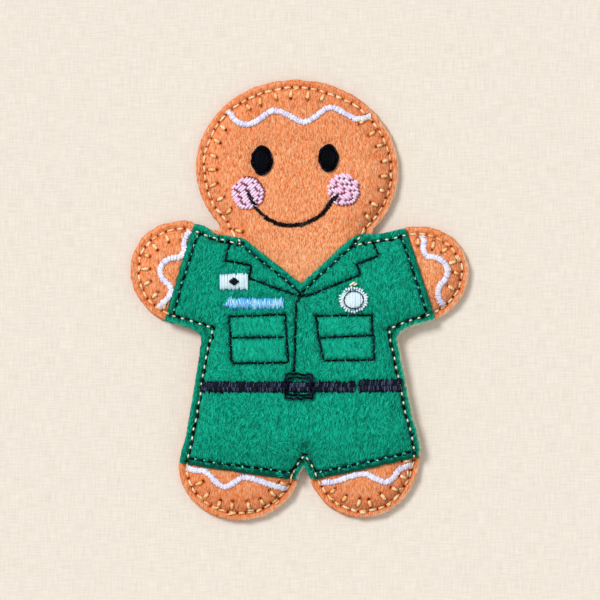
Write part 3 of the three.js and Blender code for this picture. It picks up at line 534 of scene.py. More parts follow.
def fibre_material(name, dark, light):
    """Single wool fibres, each with its own tone."""
    n = Nodes(name)
    grain = n.noise(n.placed(0, (4, 4, 4)))
    tone = n.math("MULTIPLY_ADD", grain, 0.3, n.math("SUBTRACT", n.value("tint"), 0.15))
    color = n.ramp(tone, (0.0, rgb(*dark)), (1.0, rgb(*light)))
    n.bump(grain, 0.04)
    return n.finish(color, Roughness=0.9, Specular_IOR_Level=0.08, Sheen_Weight=0.03, Sheen_Roughness=0.5)


def thread_material(name, deep, middle, light, roughness, shine):
    """Twisted thread: fine slanted plies, a tone of its own for each stitch and painted shade at the ends,
    where it sinks into the felt.
    """
    n = Nodes(name)
    slant = n.math("MULTIPLY_ADD", n.value("around"), 2.0, n.math("MULTIPLY", n.value("along"), 2.2))
    plies = n.math("MULTIPLY_ADD", n.math("SINE", n.math("MULTIPLY", slant, 2 * math.pi)), 0.5, 0.5)
    fine = n.noise(n.placed(0, (9, 9, 9)), detail=3.0)
    tone = n.math("MULTIPLY_ADD", plies, 0.22, n.math("MULTIPLY", fine, 0.3))
    tone = n.math("ADD", tone, n.math("MULTIPLY", n.value("tint"), 0.6))
    # Painted shade: the thread darkens where it sinks into the felt.
    tone = n.math("SUBTRACT", tone, n.math("MULTIPLY", n.value("sunk"), 0.65))
    color = n.ramp(tone, (0.05, rgb(*deep)), (0.5, rgb(*middle)), (0.95, rgb(*light)))
    n.bump(n.math("MULTIPLY_ADD", fine, 0.4, plies), 0.05)
    return n.finish(color, Roughness=roughness, Specular_IOR_Level=shine)


# Felts: the strokes' turns, the matting, and the dark, middle, light, painted shade and deeper painted shade
# colours.
UPRIGHT = (1.57, 1.25, 1.95)
TANGLED = (2.0, 1.5)
FELTS = {
    "orange_felt": felt_material("orange felt", UPRIGHT, 0.75, (216, 104, 52), (255, 154, 97),
                                 (255, 202, 154), (204, 92, 36), (124, 36, 8)),
    "green_felt": felt_material("green felt", TANGLED, 0.5, (0, 82, 64), (0, 151, 121),
                                (24, 206, 170), (0, 96, 72), (0, 26, 20)),
    "white_wadding": felt_material("wadding", UPRIGHT, 0.8, (200, 196, 188), (232, 228, 220),
                                   (250, 247, 240), (190, 186, 178), (150, 146, 138)),
}

# Threads: the slot, the deep, middle and light colours, the roughness and the shine.
# The deep colour shows mostly at a thread's sunk ends, as painted shade. On the black, navy and smile
# threads the light colour is painted highlights.
THREAD_LOOKS = {
    "gold": ("gold_thread", (170, 82, 24), (252, 192, 116), (255, 250, 214), 0.42, 0.5),
    "black": ("black_thread", (0, 0, 2), (3, 3, 8), (34, 40, 70), 0.5, 0.06),
    "white": ("white_thread", (150, 130, 226), (242, 238, 255), (255, 255, 255), 0.5, 0.3),
    "patch": ("white_thread", (84, 160, 248), (210, 243, 255), (246, 254, 255), 0.45, 0.4),
    "pink": ("pink_thread", (120, 36, 70), (255, 184, 228), (255, 228, 252), 0.45, 0.35),
    "navy": ("navy_thread", (0, 2, 6), (18, 24, 44), (116, 130, 172), 0.45, 0.12),
    "blue": ("blue_thread", (20, 118, 228), (92, 197, 255), (190, 250, 255), 0.45, 0.4),
    "smile": ("black_thread", (2, 0, 0), (10, 5, 7), (80, 62, 78), 0.5, 0.08),
    "green": (None, (0, 110, 84), (64, 206, 170), (160, 248, 220), 0.45, 0.4),
}
STRANDS = {name: (slot, thread_material(name + " thread", *looks))
           for name, (slot, *looks) in THREAD_LOOKS.items()}
STRANDS["orange fibre"] = "orange_felt", fibre_material("orange fibre", (220, 106, 54), (255, 196, 148))
STRANDS["green fibre"] = "green_felt", fibre_material("green fibre", (0, 100, 80), (28, 206, 168))


# Mesh makers.
def add_object(name, data):
    thing = bpy.data.objects.new(name, data)
    bpy.context.scene.collection.objects.link(thing)
    return thing


def finished(name, points, faces, material, stands_for, attributes):
    """A mesh object from points in millimetres, on the only body."""
    mesh = bpy.data.meshes.new(name)
    mesh.from_pydata((np.asarray(points) * MM).tolist(), [], faces)
    mesh.validate()
    mesh.materials.append(material)
    mesh.polygons.foreach_set("use_smooth", [True] * len(mesh.polygons))
    for key, values in attributes.items():
        mesh.attributes.new(key, "FLOAT", "POINT").data.foreach_set("value", np.asarray(values, np.float32))
    mesh.update()
    piece = add_object(name, mesh)
    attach(piece, "root")
    if stands_for:
        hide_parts(*stands_for)
    return piece


PIT_RADIUS = 0.4
PIT_DEPTH = 0.7
PIT_SIDES = 6
LEAST_THICKNESS = 0.15
WALL_RINGS = ((0.72, 0.07), (0.3, 0.09))


def signed_area(line):
    """The area inside a closed line, below zero where the line runs clockwise."""
    x, y = line.T
    return 0.5 * np.sum(x * np.roll(y, -1) - y * np.roll(x, -1))


def rough_rim(edge, pitch, grow):
    """The cut edge with a slight wander, and its unit directions outwards."""
    rim = resampled(edge, 0.8 * pitch, True)
    along = np.roll(rim, -1, 0) - np.roll(rim, 1, 0)
    outwards = np.column_stack([along[:, 1], -along[:, 0]]) / np.hypot(*along.T)[:, None]
    outwards *= math.copysign(1, signed_area(rim))
    wave = Grid(ripples(1.3, 0.035) + ripples(4, 0.04) + grow)
    return rim + outwards * (wave(rim)[:, None] + chance.normal(0, 0.02, (len(rim), 1))), outwards


def inner_places(rim, field, pitch):
    """Places inside the rim on a slightly disturbed grid of triangles."""
    low, high = rim.min(0), rim.max(0)
    columns = np.arange(low[0], high[0], pitch)
    rows = np.arange(low[1], high[1], pitch * math.sqrt(3) / 2)
    x, y = np.meshgrid(columns, rows, indexing="ij")
    x = x + 0.5 * pitch * (np.arange(len(rows)) % 2)
    places = np.column_stack([x.ravel(), y.ravel()]) + chance.uniform(-0.12, 0.12, (x.size, 2)) * pitch
    return places[field(places) < -0.6 * pitch - 0.08]


def spread_out(points, gap):
    """The points without those that lie closer together than a gap."""
    kept = []
    for point in points:
        if not kept or np.min(np.hypot(*(kept - point).T)) > gap:
            kept.append(point)
    return np.reshape(kept, (-1, 2))


def joined(rim, inner, pits):
    """Triangles over all places, with a ring round each pit. The pits come last."""
    turn = np.arange(PIT_SIDES) * 2 * math.pi / PIT_SIDES
    circle = PIT_RADIUS * np.column_stack([np.cos(turn), np.sin(turn)])
    for pit in pits:
        inner = inner[np.hypot(*(inner - pit).T) > 1.5 * PIT_RADIUS]
    rings = (pits[:, None] + circle[None]).reshape(-1, 2)
    flat = [Vector(place) for place in np.vstack([rim, inner, rings, pits])]
    border = [(i, (i + 1) % len(rim)) for i in range(len(rim))]
    places, _, faces = delaunay_2d_cdt(flat, border, [], 1, 1e-5)[:3]
    from_last = np.arange(len(places), 0, -1)
    is_pit = from_last <= len(pits)
    is_ring = (from_last <= len(pits) + len(rings)) & ~is_pit
    return np.array([place[:] for place in places]), np.array(faces), is_pit, is_ring


def felt_sheet(name, slot, node, edge, field, top, bottom, pitch, grow, press=FLAT, pits=(),
               crease=0.02, gloom=FLAT, painted_light=FLAT):
    """A closed sheet of felt with a rough cut edge and a dent at each needle hole."""
    rim, outwards = rough_rim(edge, pitch, grow)
    inner = inner_places(rim, field, pitch)
    places, tops, is_pit, is_ring = joined(rim, inner, spread_out(pits, 2.3 * PIT_RADIUS))
    count, length = len(places), len(rim)
    inset = np.clip(-field(places), 0, None)
    round_off = 0.22 * np.clip(1 - inset / 0.5, 0, 1) ** 2
    z_bottom = bottom(places) + 0.4 * round_off
    z_top = np.maximum(top(places) - round_off - PIT_DEPTH * is_pit, z_bottom + LEAST_THICKNESS)
    points = [np.column_stack([places, z_top]), np.column_stack([places, z_bottom])]
    depth = Grid(press)(places) / 0.5
    # Painted shade: darker in the pressed grooves, the needle holes and their rings, with the gloom grid
    # added.
    shade = np.clip(crease * depth, 0, crease) + 0.9 * is_pit + 0.3 * is_ring + Grid(gloom)(places)
    # More painted shade in a band about 4 mm in from the edge, and in a thin band just inside the rim.
    shade += 0.085 * np.exp(-(((inset - 3.8) / 2.6) ** 2))
    shade += 0.06 * np.exp(-(((inset - 0.7) / 0.4) ** 2))
    # Painted highlight: a pale line along the cut edges that face right and down, on the rim and its walls.
    facing = np.clip(1.6 * (outwards @ [0.88, -0.47]) - 0.2, 0, 1) * (figure(rim) > -0.6)
    pale = np.zeros(count)
    pale[:length] = 0.55 * facing
    shades = [shade, np.zeros(count)]
    for level, bulge in WALL_RINGS:
        z = (z_bottom + (z_top - z_bottom) * level)[:length]
        out = places[:length] + outwards * (bulge + chance.normal(0, 0.025, (length, 1)))
        points.append(np.column_stack([out, z]))
        # Painted shade on the walls, darker towards their foot.
        shades.append(np.full(length, 1.12 - 0.95 * level))
    values = {"shade": shades, "painted_light": [Grid(painted_light)(places), np.zeros(count + 2 * length)],
              "pale": [pale, np.zeros(count), facing, 0.6 * facing]}

    faces = tops.tolist() + (count + tops[:, ::-1]).tolist()
    rings = [start + np.arange(length) for start in (0, 2 * count, 2 * count + length, count)]
    for upper, lower in zip(rings, rings[1:]):
        walls = np.column_stack([upper, lower, np.roll(lower, -1), np.roll(upper, -1)])
        faces += (walls if signed_area(rim) > 0 else walls[:, ::-1]).tolist()
    values = {key: np.concatenate(parts) for key, parts in values.items()}
    return finished(name, np.vstack(points), faces, FELTS[slot], [node], values)


class Bundle:
    """Closed threads that taper at both ends, gathered into one mesh."""

    def __init__(self):
        self.points, self.faces, self.values, self.count = [], [], {}, 0

    def add(self, paths, radii, sides=6, tint=None):
        """paths holds (threads, steps, 3) and radii (threads, steps), in millimetres."""
        paths = np.asarray(paths, float)
        threads, steps = paths.shape[:2]
        points = self.tubes(paths, np.broadcast_to(radii, (threads, steps)), sides)
        size = points.shape[1]
        shape = self.skin(sides, steps - 3)
        for thread in range(threads):
            start = self.count + thread * size
            self.faces += [[start + k for k in face] for face in shape]
        self.count += threads * size
        self.points.append(points.reshape(-1, 3))

        run = np.linalg.norm(np.diff(paths, axis=1), axis=2)
        run = np.concatenate([np.zeros((threads, 1)), np.cumsum(run, axis=1)], axis=1)
        share = run / run[:, -1:]
        # Nearness to a thread's ends, which the thread material darkens as painted shade.
        sunk = np.clip(1 - np.minimum(share, 1 - share) / 0.16, 0, 1)
        run = run + chance.uniform(0, 5, (threads, 1))
        tint = chance.uniform(0, 1, threads) if tint is None else np.broadcast_to(tint, threads)
        turns = np.concatenate([[0], np.tile(np.arange(sides) / sides, steps - 2), [0]])
        repeats = [1] + [sides] * (steps - 2) + [1]
        values = {"along": np.repeat(run, repeats, axis=1), "around": np.tile(turns, threads),
                  "sunk": np.repeat(sunk, repeats, axis=1), "tint": np.repeat(tint, size)}
        for key, value in values.items():
            self.values.setdefault(key, []).append(value.ravel())

    def tubes(self, paths, radii, sides):
        """Each thread's points: its start, a ring at every inner step, and its end."""
        tangent = np.gradient(paths, axis=1)
        tangent /= np.linalg.norm(tangent, axis=2, keepdims=True) + 1e-9
        side = np.cross(tangent, [0.0, 0.0, 1.0])
        side /= np.maximum(np.linalg.norm(side, axis=2, keepdims=True), 1e-9)
        normal = np.cross(side, tangent)
        turn = (2 * math.pi * np.arange(sides) / sides - math.pi / 2)[:, None]
        ring = side[:, 1:-1, None] * np.cos(turn) + normal[:, 1:-1, None] * np.sin(turn)
        rings = paths[:, 1:-1, None] + ring * radii[:, 1:-1, None, None]
        return np.concatenate([paths[:, :1], rings.reshape(len(paths), -1, 3), paths[:, -1:]], axis=1)

    def skin(self, sides, bands):
        """One thread's faces: a cone at each end and bands of quads between its rings."""
        ahead = [(k + 1) % sides for k in range(sides)]
        last = 1 + bands * sides
        faces = [[0, 1 + ahead[k], 1 + k] for k in range(sides)]
        for a in range(1, last, sides):
            b = a + sides
            faces += [[a + k, a + ahead[k], b + ahead[k], b + k] for k in range(sides)]
        return faces + [[last + k, last + ahead[k], last + sides] for k in range(sides)]

    def sew(self, stitches, radius, lift=0.3, dip=0.1, tones=None, **route):
        """Adds threads from starts to ends. A pair of tones is a range to draw from."""
        starts, ends = stitches[:2]
        if isinstance(tones, tuple):
            tones = chance.uniform(*tones, len(starts))
        self.add(*arched(starts, ends, radius, lift, dip, **route), tint=tones)
        return self

    def build(self, name, strand, *stands_for):
        slot, material = STRANDS[strand]
        values = {key: np.concatenate(parts) for key, parts in self.values.items()}
        finished(name, np.vstack(self.points), self.faces, material, stands_for, values)

    def stand_for(self, node, strand):
        """Builds the threads that replace one CAD node."""
        self.build(node + "_threads", strand, node)


# Stitches.
def arched(starts, ends, radius, lift, dip, over=surface, steps=9, power=2.0):
    """Thread paths that rise out of the felt and sink back into it."""
    share = np.linspace(0, 1, steps)
    flat = starts[:, None] + (ends - starts)[:, None] * share[:, None]
    arch = 1 - np.abs(2 * share - 1) ** power
    z = over(flat) + lift * arch - dip * (1 - arch) + 0.3 * np.mean(radius)
    return np.concatenate([flat, z[..., None]], axis=2), radius * (0.6 + 0.4 * np.sqrt(arch))


def raised(lift):
    """The felt's surface with a lift on top."""
    return lambda points: surface(points) + lift


def stitch_ends(line, pitch, gap, closed=False, wander=0.07):
    """The starts and ends of stitches along a line, and the needle holes between them."""
    holes = resampled(line, pitch, closed)
    holes = holes + chance.normal(0, wander, holes.shape)
    ahead = np.roll(holes, -1, 0) if closed else holes[1:]
    starts = holes if closed else holes[:-1]
    step = ahead - starts
    step = step / np.hypot(*step.T)[:, None] * gap / 2
    return starts + step, ahead - step, holes


def satin(line, width, pitch, lean=0.0, wander=0.08, closed=False):
    """The starts and ends of threads laid side by side across a line."""
    middle = resampled(line, pitch, closed)
    along = np.gradient(middle, axis=0)
    along = along / (np.hypot(*along.T)[:, None] + 1e-9)
    across = np.column_stack([-along[:, 1], along[:, 0]])
    half = width / 2 + chance.normal(0, wander, (len(middle), 2))
    sway = chance.normal(0, 0.05, (len(middle), 2)) + [lean / 2, -lean / 2]
    starts = middle + across * half[:, :1] + along * sway[:, :1]
    return starts, middle - across * half[:, 1:] + along * sway[:, 1:]


def fill(edge, angle, pitch, longest=99.0, gap=0.0, wander=0.08):
    """The starts and ends of threads that fill a closed convex edge."""
    c, s = math.cos(angle), math.sin(angle)
    turn = np.array([[c, -s], [s, c]])
    edge = edge @ turn
    starts, ends = [], []
    for y in np.arange(edge[:, 1].min() + 0.5 * pitch, edge[:, 1].max() - 0.1, pitch):
        a, b = edge, np.roll(edge, -1, 0)
        cut = (a[:, 1] > y) != (b[:, 1] > y)
        xs = a[cut, 0] + (y - a[cut, 1]) * (b[cut, 0] - a[cut, 0]) / (b[cut, 1] - a[cut, 1])
        low, high = xs.min() + chance.normal(0, wander), xs.max() + chance.normal(0, wander)
        inner = np.arange(low + chance.uniform(0, longest), high, longest)
        inner = inner[(inner > low + 0.8) & (inner < high - 0.8)]
        stops = np.concatenate([[low], inner, [high]])
        for x0, x1 in zip(stops, stops[1:]):
            starts.append([x0 + gap / 2, y + chance.normal(0, 0.03)])
            ends.append([x1 - gap / 2, y + chance.normal(0, 0.03)])
    return np.array(starts) @ turn.T, np.array(ends) @ turn.T


# The seams' needle holes, which dent the felt. On the uniform's sides both seams share them.
def seam_stitches():
    """The gold seam's stitches, shorter on the uniform."""
    starts, ends, holes = stitch_ends(gold_line, STITCH_PITCH, 0.5, True, 0.1)
    on_uniform = uniform((starts + ends) / 2) < 0.2
    shorten = 0.24 * (ends - starts) * on_uniform[:, None]
    return starts + shorten, ends - shorten, holes, on_uniform


def black_stitches():
    """The uniform's stitches: a row of its own, and on its sides short ones at the gold seam's holes."""
    starts, ends, holes = stitch_ends(black_line, STITCH_PITCH, 0.75, True)
    inside = enclosed((starts + ends) / 2, gold_line, 0.3)
    side_holes = seam_holes[uniform(seam_holes) < -0.8]
    lean = inwards(side_holes)
    run = 0.72 * np.column_stack([-lean[:, 1], lean[:, 0]])
    middle = side_holes + 0.22 * lean
    return np.vstack([starts[inside], middle - run]), np.vstack([ends[inside], middle + run]), holes[inside]


def jacket_line_stitches(shares):
    """The stitches along a line of the jacket, with a hole at each corner."""
    corners = on_chest(shares)
    runs = [stitch_ends([a, b], 1.8, 0.12, wander=0.05) for a, b in zip(corners, corners[1:])]
    return [np.vstack(parts) for parts in zip(*runs)]


seam_starts, seam_ends, seam_holes, on_uniform = seam_stitches()
black_starts, black_ends, black_holes = black_stitches()
jacket_stitches = {name: jacket_line_stitches(shares) for name, shares in JACKET_SHARES.items()}
front_pits = np.vstack([seam_holes[uniform(seam_holes) > 0.6], tips + 0.3 * inwards(tips), feet])
uniform_pits = np.vstack([seam_holes[uniform(seam_holes) < -0.6], black_holes,
                          *(holes for _, _, holes in jacket_stitches.values())])

# The felt pieces. Some parts are darker or lighter than the rest, as shares of one: darker towards the feet
# and at the brow, lighter at the neck, and painted light inside the pockets, where the padding bulges.
FRONT_INSET = 0.25
PAD_INSET = LEDGE + 0.9
tucked = np.where(uniform.values < 0.4, -0.18, 0.06)
legs = np.clip((-28 - Grid.Y) / 12, 0, 1)
brow = np.clip((Grid.Y - 34) / 8, 0, 1)
neck = np.exp(-(Grid.X**2 + (Grid.Y - 9) ** 2) / 60)
pockets = [distance_grid(on_chest(JACKET_SHARES[side + "_pocket"])).values for side in SIDES]
pockets = np.clip(0.5 - np.minimum(*pockets), 0, 1)
front_field = Grid(figure.values + FRONT_INSET)
pad_field = Grid(figure.values + PAD_INSET)
pad_bottom = Grid(np.full(Grid.SHAPE, FELT_THICKNESS + 0.1))
pad_top = Grid(np.maximum(front_bottom.values - 0.05, FELT_THICKNESS + 0.25))
back = felt_sheet("back_sheet", "orange_felt", "back_felt", figure_edge, figure, back_top, back_bottom,
                  pitch=0.5, grow=tucked)
front = felt_sheet("front_sheet", "orange_felt", "front_felt", level_line(figure.values, -FRONT_INSET),
                   front_field, front_top, front_bottom, pitch=0.5, grow=tucked, press=front_press,
                   pits=front_pits, gloom=0.07 * legs + 0.05 * brow, painted_light=0.15 * neck)
jacket = felt_sheet("uniform_sheet", "green_felt", "uniform_felt", uniform_edge, uniform, uniform_top,
                    uniform_bottom, pitch=0.45, grow=0.1, press=uniform_press, pits=uniform_pits,
                    crease=0.36, gloom=0.2 * legs, painted_light=0.35 * pockets)
pad = felt_sheet("wadding_pad", "white_wadding", "wadding", level_line(figure.values, -PAD_INSET),
                 pad_field, pad_top, pad_bottom, pitch=1.1, grow=-0.05)


def fibres(color, field, top, count, lengths, spread, cover=None):
    """Short curled fibres that lie on the felt, most of them upright, and not under a cover."""
    places = chance.uniform([-40, -52], [40, 52], (6 * count, 2))
    places = places[field(places) < -0.15][:count]
    if cover is not None:
        places = places[cover(places) > -0.2]
    swirl = Grid(ripples(9, spread))
    angle = swirl(places) + math.pi / 2 + chance.normal(0, spread, len(places))
    length = chance.uniform(*lengths, len(places))
    curl = chance.normal(0, 0.5, len(places))
    share = np.linspace(-0.5, 0.5, 5)
    bend = angle[:, None] + curl[:, None] * share
    flat = places[:, None] + np.stack([np.cos(bend), np.sin(bend)], 2) * (length[:, None] * share)[..., None]
    z = top(flat) + 0.05 * (1 - (2 * share) ** 2) - 0.03 - 0.08 * (2 * share) ** 4
    kept = np.max(field(flat), axis=1) < -0.05
    paths = np.concatenate([flat, z[..., None]], axis=2)[kept]
    bundle = Bundle()
    bundle.add(paths, chance.uniform(0.045, 0.085, (len(paths), 1)), sides=3)
    bundle.build(color + "_fibres", color + " fibre")


fibres("orange", front_field, front_top, 13000, (0.6, 1.5), 0.22, cover=uniform)
fibres("green", uniform, uniform_top, 11000, (0.9, 2.7), 0.45)


# Seams.
def gold_seam():
    """The seam round the figure. Some stitches are sewn twice, most of them on the feet."""
    tint = chance.uniform(0.35, 0.8, len(seam_starts)) + 0.6 * on_uniform
    thick = np.where(on_uniform, 0.21, 0.27)[:, None]
    bundle = Bundle().sew((seam_starts, seam_ends), thick, dip=0.35, tones=tint)
    messy = seam_starts[:, 1] < -30
    again = ~on_uniform & (chance.uniform(0, 1, len(tint)) < 0.5 + 0.3 * messy)
    sway = chance.normal(0, 0.22, (2, again.sum(), 2)) * (1 + 0.6 * messy[again])[:, None]
    second = np.array([seam_starts[again], seam_ends[again]]) + sway
    bundle.sew(second, 0.2, lift=0.4, dip=0.2, tones=tint[again] + 0.2)
    bundle.build("gold_seam", "gold", "outline_seam")


def black_seam():
    """The seam round the uniform, with a knot at the collar's point."""
    bundle = Bundle().sew((black_starts, black_ends), 0.3, lift=0.22, dip=0.35)
    knot = np.array(BLACK_CORNERS) + [[-0.5, -0.3], [0, 0.35], [0.5, -0.35]]
    bundle.sew((knot - [0.5, 0.3], knot + [0.5, 0.3]), 0.27)
    bundle.build("black_seam", "black", "uniform_seam")


def green_dots():
    """The lower thread, which shows as a dot beside each hole of the uniform's seam."""
    dots = black_holes - 0.3 * inwards(black_holes)
    run = 0.26 * inwards(dots)
    bundle = Bundle().sew((dots - run, dots + run), 0.2, lift=0.2, dip=0.2, tones=(0, 0.8))
    bundle.build("green_dots", "green")


def blanket_stitches(part, mine):
    """The prongs on one carrier, thicker towards their tips."""
    steps = 10
    paths, radii = arched(feet[mine], tips[mine], 0.42, lift=0.34, dip=0.3, steps=steps)
    bundle = Bundle()
    bundle.add(paths, radii * np.linspace(0.7, 1.15, steps), tint=chance.uniform(0.35, 0.75, mine.sum()))
    bundle.build("blanket_" + part, "gold", "blanket_stitch_" + part)


def icing(part):
    stitches = satin(icing_lines[part], ICING_WIDTH + (0.12 if part == "head" else 0.2), 0.29, lean=0.2)
    bundle = Bundle().sew(stitches, 0.2, lift=0.42, dip=0.25, tones=(0.15, 0.95), power=3.0)
    bundle.build("icing_threads_" + part, "white", "icing_" + part)


gold_seam()
black_seam()
green_dots()
for number, part in enumerate(CARRIERS):
    blanket_stitches(part, prong_owner == number)
    icing(part)


# The face. The threads of a dense fill stay high until near their ends.
DENSE = {"steps": 11, "power": 4.0}


def eye(side, lean, size):
    """A filled oval, stitches round its edge and a smaller layer across it. The edge stitches and the upper
    layer are drawn lighter, as painted glints and painted sheen.
    """
    place, width, height = PLACES[side + "_eye"], size * EYE_WIDTH, size * EYE_HEIGHT
    edge = round_line(place, width - 0.4, height - 0.4, 1.15)
    under = fill(edge, lean, 0.42, wander=0.05)
    bundle = Bundle().sew(under, 0.26, dip=0.2, tones=0, **DENSE)
    bundle.sew(stitch_ends(edge, 0.9, -0.2, closed=True), 0.3, tones=(0, 0.9))
    edge = round_line(place, width - 1.5, height - 1.2, 1.15)
    over = fill(edge, math.pi / 2 + lean, 0.34, wander=0.1)
    bundle.sew(over, 0.24, lift=0.42, tones=(0.1, 0.5), **DENSE)
    bundle.stand_for(side + "_eye", "black")


def cheek(side, angle):
    """A round fill of short stitches, with a dark dash over the end of each as painted shade of its needle
    hole.
    """
    edge = round_line(PLACES[side + "_cheek"], CHEEK_WIDTH, CHEEK_WIDTH)
    starts, ends = fill(edge, angle, 0.6, longest=2.3, gap=0.34, wander=0.12)
    bundle = Bundle().sew((starts, ends), 0.33, lift=0.32, dip=0.2, tones=(0.8, 1.3), power=4.0)
    step = (ends - starts) / np.hypot(*(ends - starts).T)[:, None]
    # Painted shade: a dark dash over each stroke's end stands for its needle hole.
    bundle.sew((ends - 0.2 * step, ends + 0.45 * step), 0.2, dip=0, tones=-0.3)
    bundle.stand_for(side + "_cheek", "pink")


def face_top(points):
    """The height of the front felt and of the cheeks on it."""
    gap = np.min([np.hypot(*(points - PLACES[side + "_cheek"]).T).T for side in SIDES], axis=0)
    return front_top(points) + 0.4 * np.clip((CHEEK_WIDTH / 2 + 0.5 - gap) / 0.8, 0, 1)


def smile():
    """Slanted stitches, thinner at the left end, with a knot at the right one."""
    stitches = satin(smile_line, 0.75, 0.62, lean=1.3, wander=0.12)
    share = np.linspace(0, 1, len(stitches[0]))
    swell = np.interp(share, [0, 0.1, 0.4, 1], [0.16, 0.24, 0.33, 0.3])[:, None]
    # Some stitches take the thread's light colour, as painted highlights.
    bundle = Bundle().sew(stitches, swell, tones=(-0.1, 0.8), over=face_top)
    knot = smile_line[-1] + chance.normal(0, 0.15, (5, 2))
    bundle.sew((knot - [0.5, 0.45], knot + [0.5, 0.45]), 0.33, lift=0.45, dip=0, over=face_top)
    bundle.stand_for("smile", "smile")


for side, lean, size, angle in (("left", -0.15, 1.0, 0.75), ("right", -0.1, 0.94, -0.68)):
    eye(side, lean, size)
    cheek(side, angle)
smile()

# The jacket's lines.
for name, stitches in jacket_stitches.items():
    Bundle().sew(stitches, 0.24, lift=0.16, dip=0.3, power=3.0).build(name + "_stitches", "black", name)

# The belt, its loose end and its buckle.
BELT_SPLIT = 12.5
BELT_SPLIT_GAP = 0.95
BUCKLE_PLACE = np.array([-0.2, BELT_Y + 0.2])


def belt(name, width, row):
    """A dark satin band with two slanting layers of lighter strokes, which are painted sheen."""
    band = satin(row, width, 0.38, lean=0.2, wander=0.22)
    bundle = Bundle().sew(band, 0.24, dip=0.25, tones=-0.2, power=3.0)
    for low, high, slant in ((-0.15, 0.5, 0.6), (-0.5, 0.15, -0.35)):
        starts, ends = satin(row, width - 0.3, 0.3, lean=slant, wander=0.1)
        middle, half = 0.5 * (starts + ends), starts - ends
        strokes = middle + low * half, middle + high * half
        bundle.sew(strokes, 0.13, lift=0.5, tones=(0, 0.8), power=3.0)
    bundle.stand_for(name, "navy")


def buckle():
    """Two square rounds of stitches, one inside the other."""
    bundle = Bundle()
    for narrower, lower in ((0.6, 0.3), (1.9, 1.8)):
        line = square_line(BUCKLE_PLACE, BUCKLE_WIDTH - narrower, BUCKLE_HEIGHT - lower)
        for corners in zip(line, line[1:]):
            stitches = stitch_ends(corners, 0.95, -0.15, wander=0.15)
            bundle.sew(stitches, 0.29, tones=(0, 1), over=raised(0.4))
    bundle.stand_for("buckle", "black")


belt("belt", BELT_WIDTH, belt_row[belt_row[:, 0] < BELT_SPLIT])
belt("belt_end", BELT_END_WIDTH, belt_row[belt_row[:, 0] > BELT_SPLIT + BELT_SPLIT_GAP] + [0, 0.3])
buckle()


# The patch, the round badge and the name strip, all plain.
def upright_fill(edge, tones, lift=0.0, wander=0.15):
    """A bundle of upright threads inside an edge."""
    stitches = fill(edge, math.pi / 2, 0.36, wander=wander)
    return Bundle().sew(stitches, 0.22, lift=0.4, dip=0.15, tones=tones, over=raised(lift), **DENSE)


def chest_patch():
    """A plain rectangle with a small plain diamond."""
    upright_fill(patch_edge, (0.35, 1)).stand_for("chest_patch", "patch")
    diamond = round_line(PLACES["chest_patch"], MARK_WIDTH, MARK_WIDTH)[::12]
    upright_fill(diamond, (-0.1, 0.2), lift=0.45, wander=0.03).stand_for("patch_mark", "navy")


def round_badge():
    """A plain disc with a border of thick stitches."""
    place = PLACES["round_badge"]
    bundle = upright_fill(round_line(place, 6.0, 5.3), (0.35, 1))
    border = satin(round_line(place, 6.1, 5.3)[:-1], 0.5, 0.62, wander=0.14, closed=True)
    bundle.sew(border, 0.27, lift=0.4, tones=(0.4, 1.1))
    bundle.stand_for("round_badge", "patch")


def name_strip():
    """A plain satin strip, narrower at its left end, with some light strokes on it as painted highlights."""
    line = PLACES["name_strip"] + np.array([[0.2 - STRIP_LENGTH / 2, -0.1], [STRIP_LENGTH / 2 - 0.3, -0.1]])
    starts, ends = satin(line, STRIP_WIDTH + 0.15, 0.33, lean=0.3, wander=0.2)
    taper = 0.5 * np.clip(1 - np.arange(len(starts)) / 4, 0, 0.8)[:, None] * (ends - starts)
    strip = Bundle().sew((starts + taper, ends - taper), 0.2, dip=0.15, tones=(0.1, 1))
    strip.stand_for("name_strip", "blue")
    strokes = satin(line + [[1.2, 0], [0, 0]], STRIP_WIDTH - 0.7, 0.5, lean=-0.5, wander=0.3)
    Bundle().sew(strokes, 0.14, lift=0.44, dip=0.05, tones=(0, 0.6)).build("name_strip_highlights", "patch")


def badge_trim():
    """The badge's dark ring, and three short gold stitches at its top."""
    place = PLACES["round_badge"]
    ring = stitch_ends(round_line(place, 4.5, 4.1), 1.0, -0.05, wander=0.04)
    bundle = Bundle().sew(ring, 0.17, lift=0.2, dip=0.02, over=raised(0.5))
    bundle.stand_for("badge_ring", "navy")
    knot = place + [[-0.5, 3.5], [-0.1, 3.8], [0.4, 3.5]]
    knot = knot - [0.5, 0.2], knot + [0.45, 0.25]
    Bundle().sew(knot, 0.24, lift=0.35, tones=1).build("badge_knot", "gold")


chest_patch()
round_badge()
name_strip()
badge_trim()


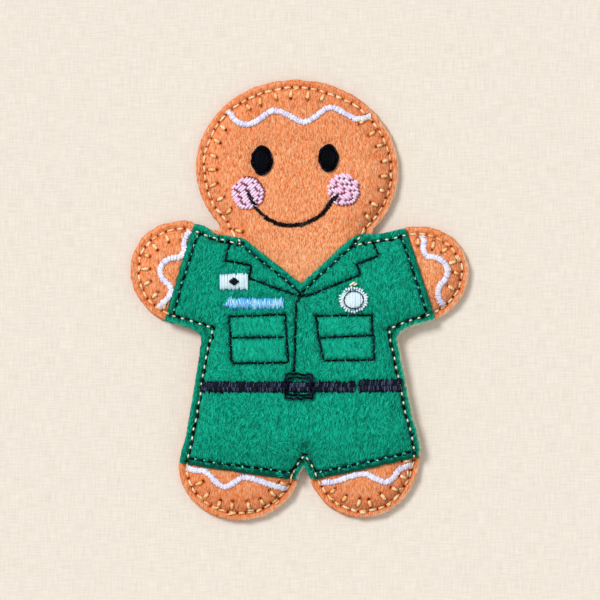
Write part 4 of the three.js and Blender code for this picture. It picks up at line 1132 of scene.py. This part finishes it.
# The underside of the gold seam, which lies in a groove in the back.
GROOVE_HEIGHT = 0.162
step = np.roll(seam_holes, -1, 0) - seam_holes
bundle = Bundle().sew((seam_holes + 0.07 * step, seam_holes + 0.93 * step), 0.23, lift=0, dip=-0.3,
                      tones=(0.7, 1.2), over=lambda points: np.full(points.shape[:-1], GROOVE_HEIGHT))
bundle.build("back_stitches", "gold")

# The floor, the light and the camera.
PICTURE_WIDTH = 138.0
CAMERA_HEIGHT = 700.0
FLOOR_WIDTH = 3
ROOM_LIGHT = 0.54
WINDOW_LIGHT = 2.08
WINDOW_SIZE = math.radians(20)
WINDOW_RAYS = Vector((0.59, -0.58, -1.0))


def floor_material():
    """Pale linen: two layers of noise, each stretched along its threads."""
    n = Nodes("pale linen")
    warp = n.noise(n.placed(0, (0.25, 3.2, 1)))
    weft = n.noise(n.placed(0, (3.2, 0.25, 1)))
    weave = n.math("MULTIPLY", n.math("ADD", warp, weft), 0.5)
    n.bump(weave, 0.05)
    color = n.ramp(weave, (0.32, rgb(228, 219, 206)), (0.68, rgb(246, 237, 224)))
    return n.finish(color, Roughness=0.9, Specular_IOR_Level=0.1)


bpy.ops.mesh.primitive_plane_add(size=FLOOR_WIDTH)
floor = bpy.context.object
floor.name = "floor"
floor.data.materials.append(floor_material())

world = bpy.data.worlds.new("soft room")
world.use_nodes = True
background = world.node_tree.nodes["Background"].inputs
background["Color"].default_value = (1, 1, 1, 1)
background["Strength"].default_value = ROOM_LIGHT
bpy.context.scene.world = world

window = bpy.data.lights.new("window", "SUN")
window.energy = WINDOW_LIGHT
window.angle = WINDOW_SIZE
add_object("window", window).rotation_euler = WINDOW_RAYS.to_track_quat("-Z", "Y").to_euler()

lens = bpy.data.cameras.new("camera")
lens.lens = lens.sensor_width * CAMERA_HEIGHT / PICTURE_WIDTH
lens.clip_start, lens.clip_end = 0.01, 10
camera = add_object("camera", lens)
camera.location = (0, 0.1 * MM, (CAMERA_HEIGHT + 3) * MM)
bpy.context.scene.camera = camera

bpy.context.scene.view_settings.view_transform = "Standard"
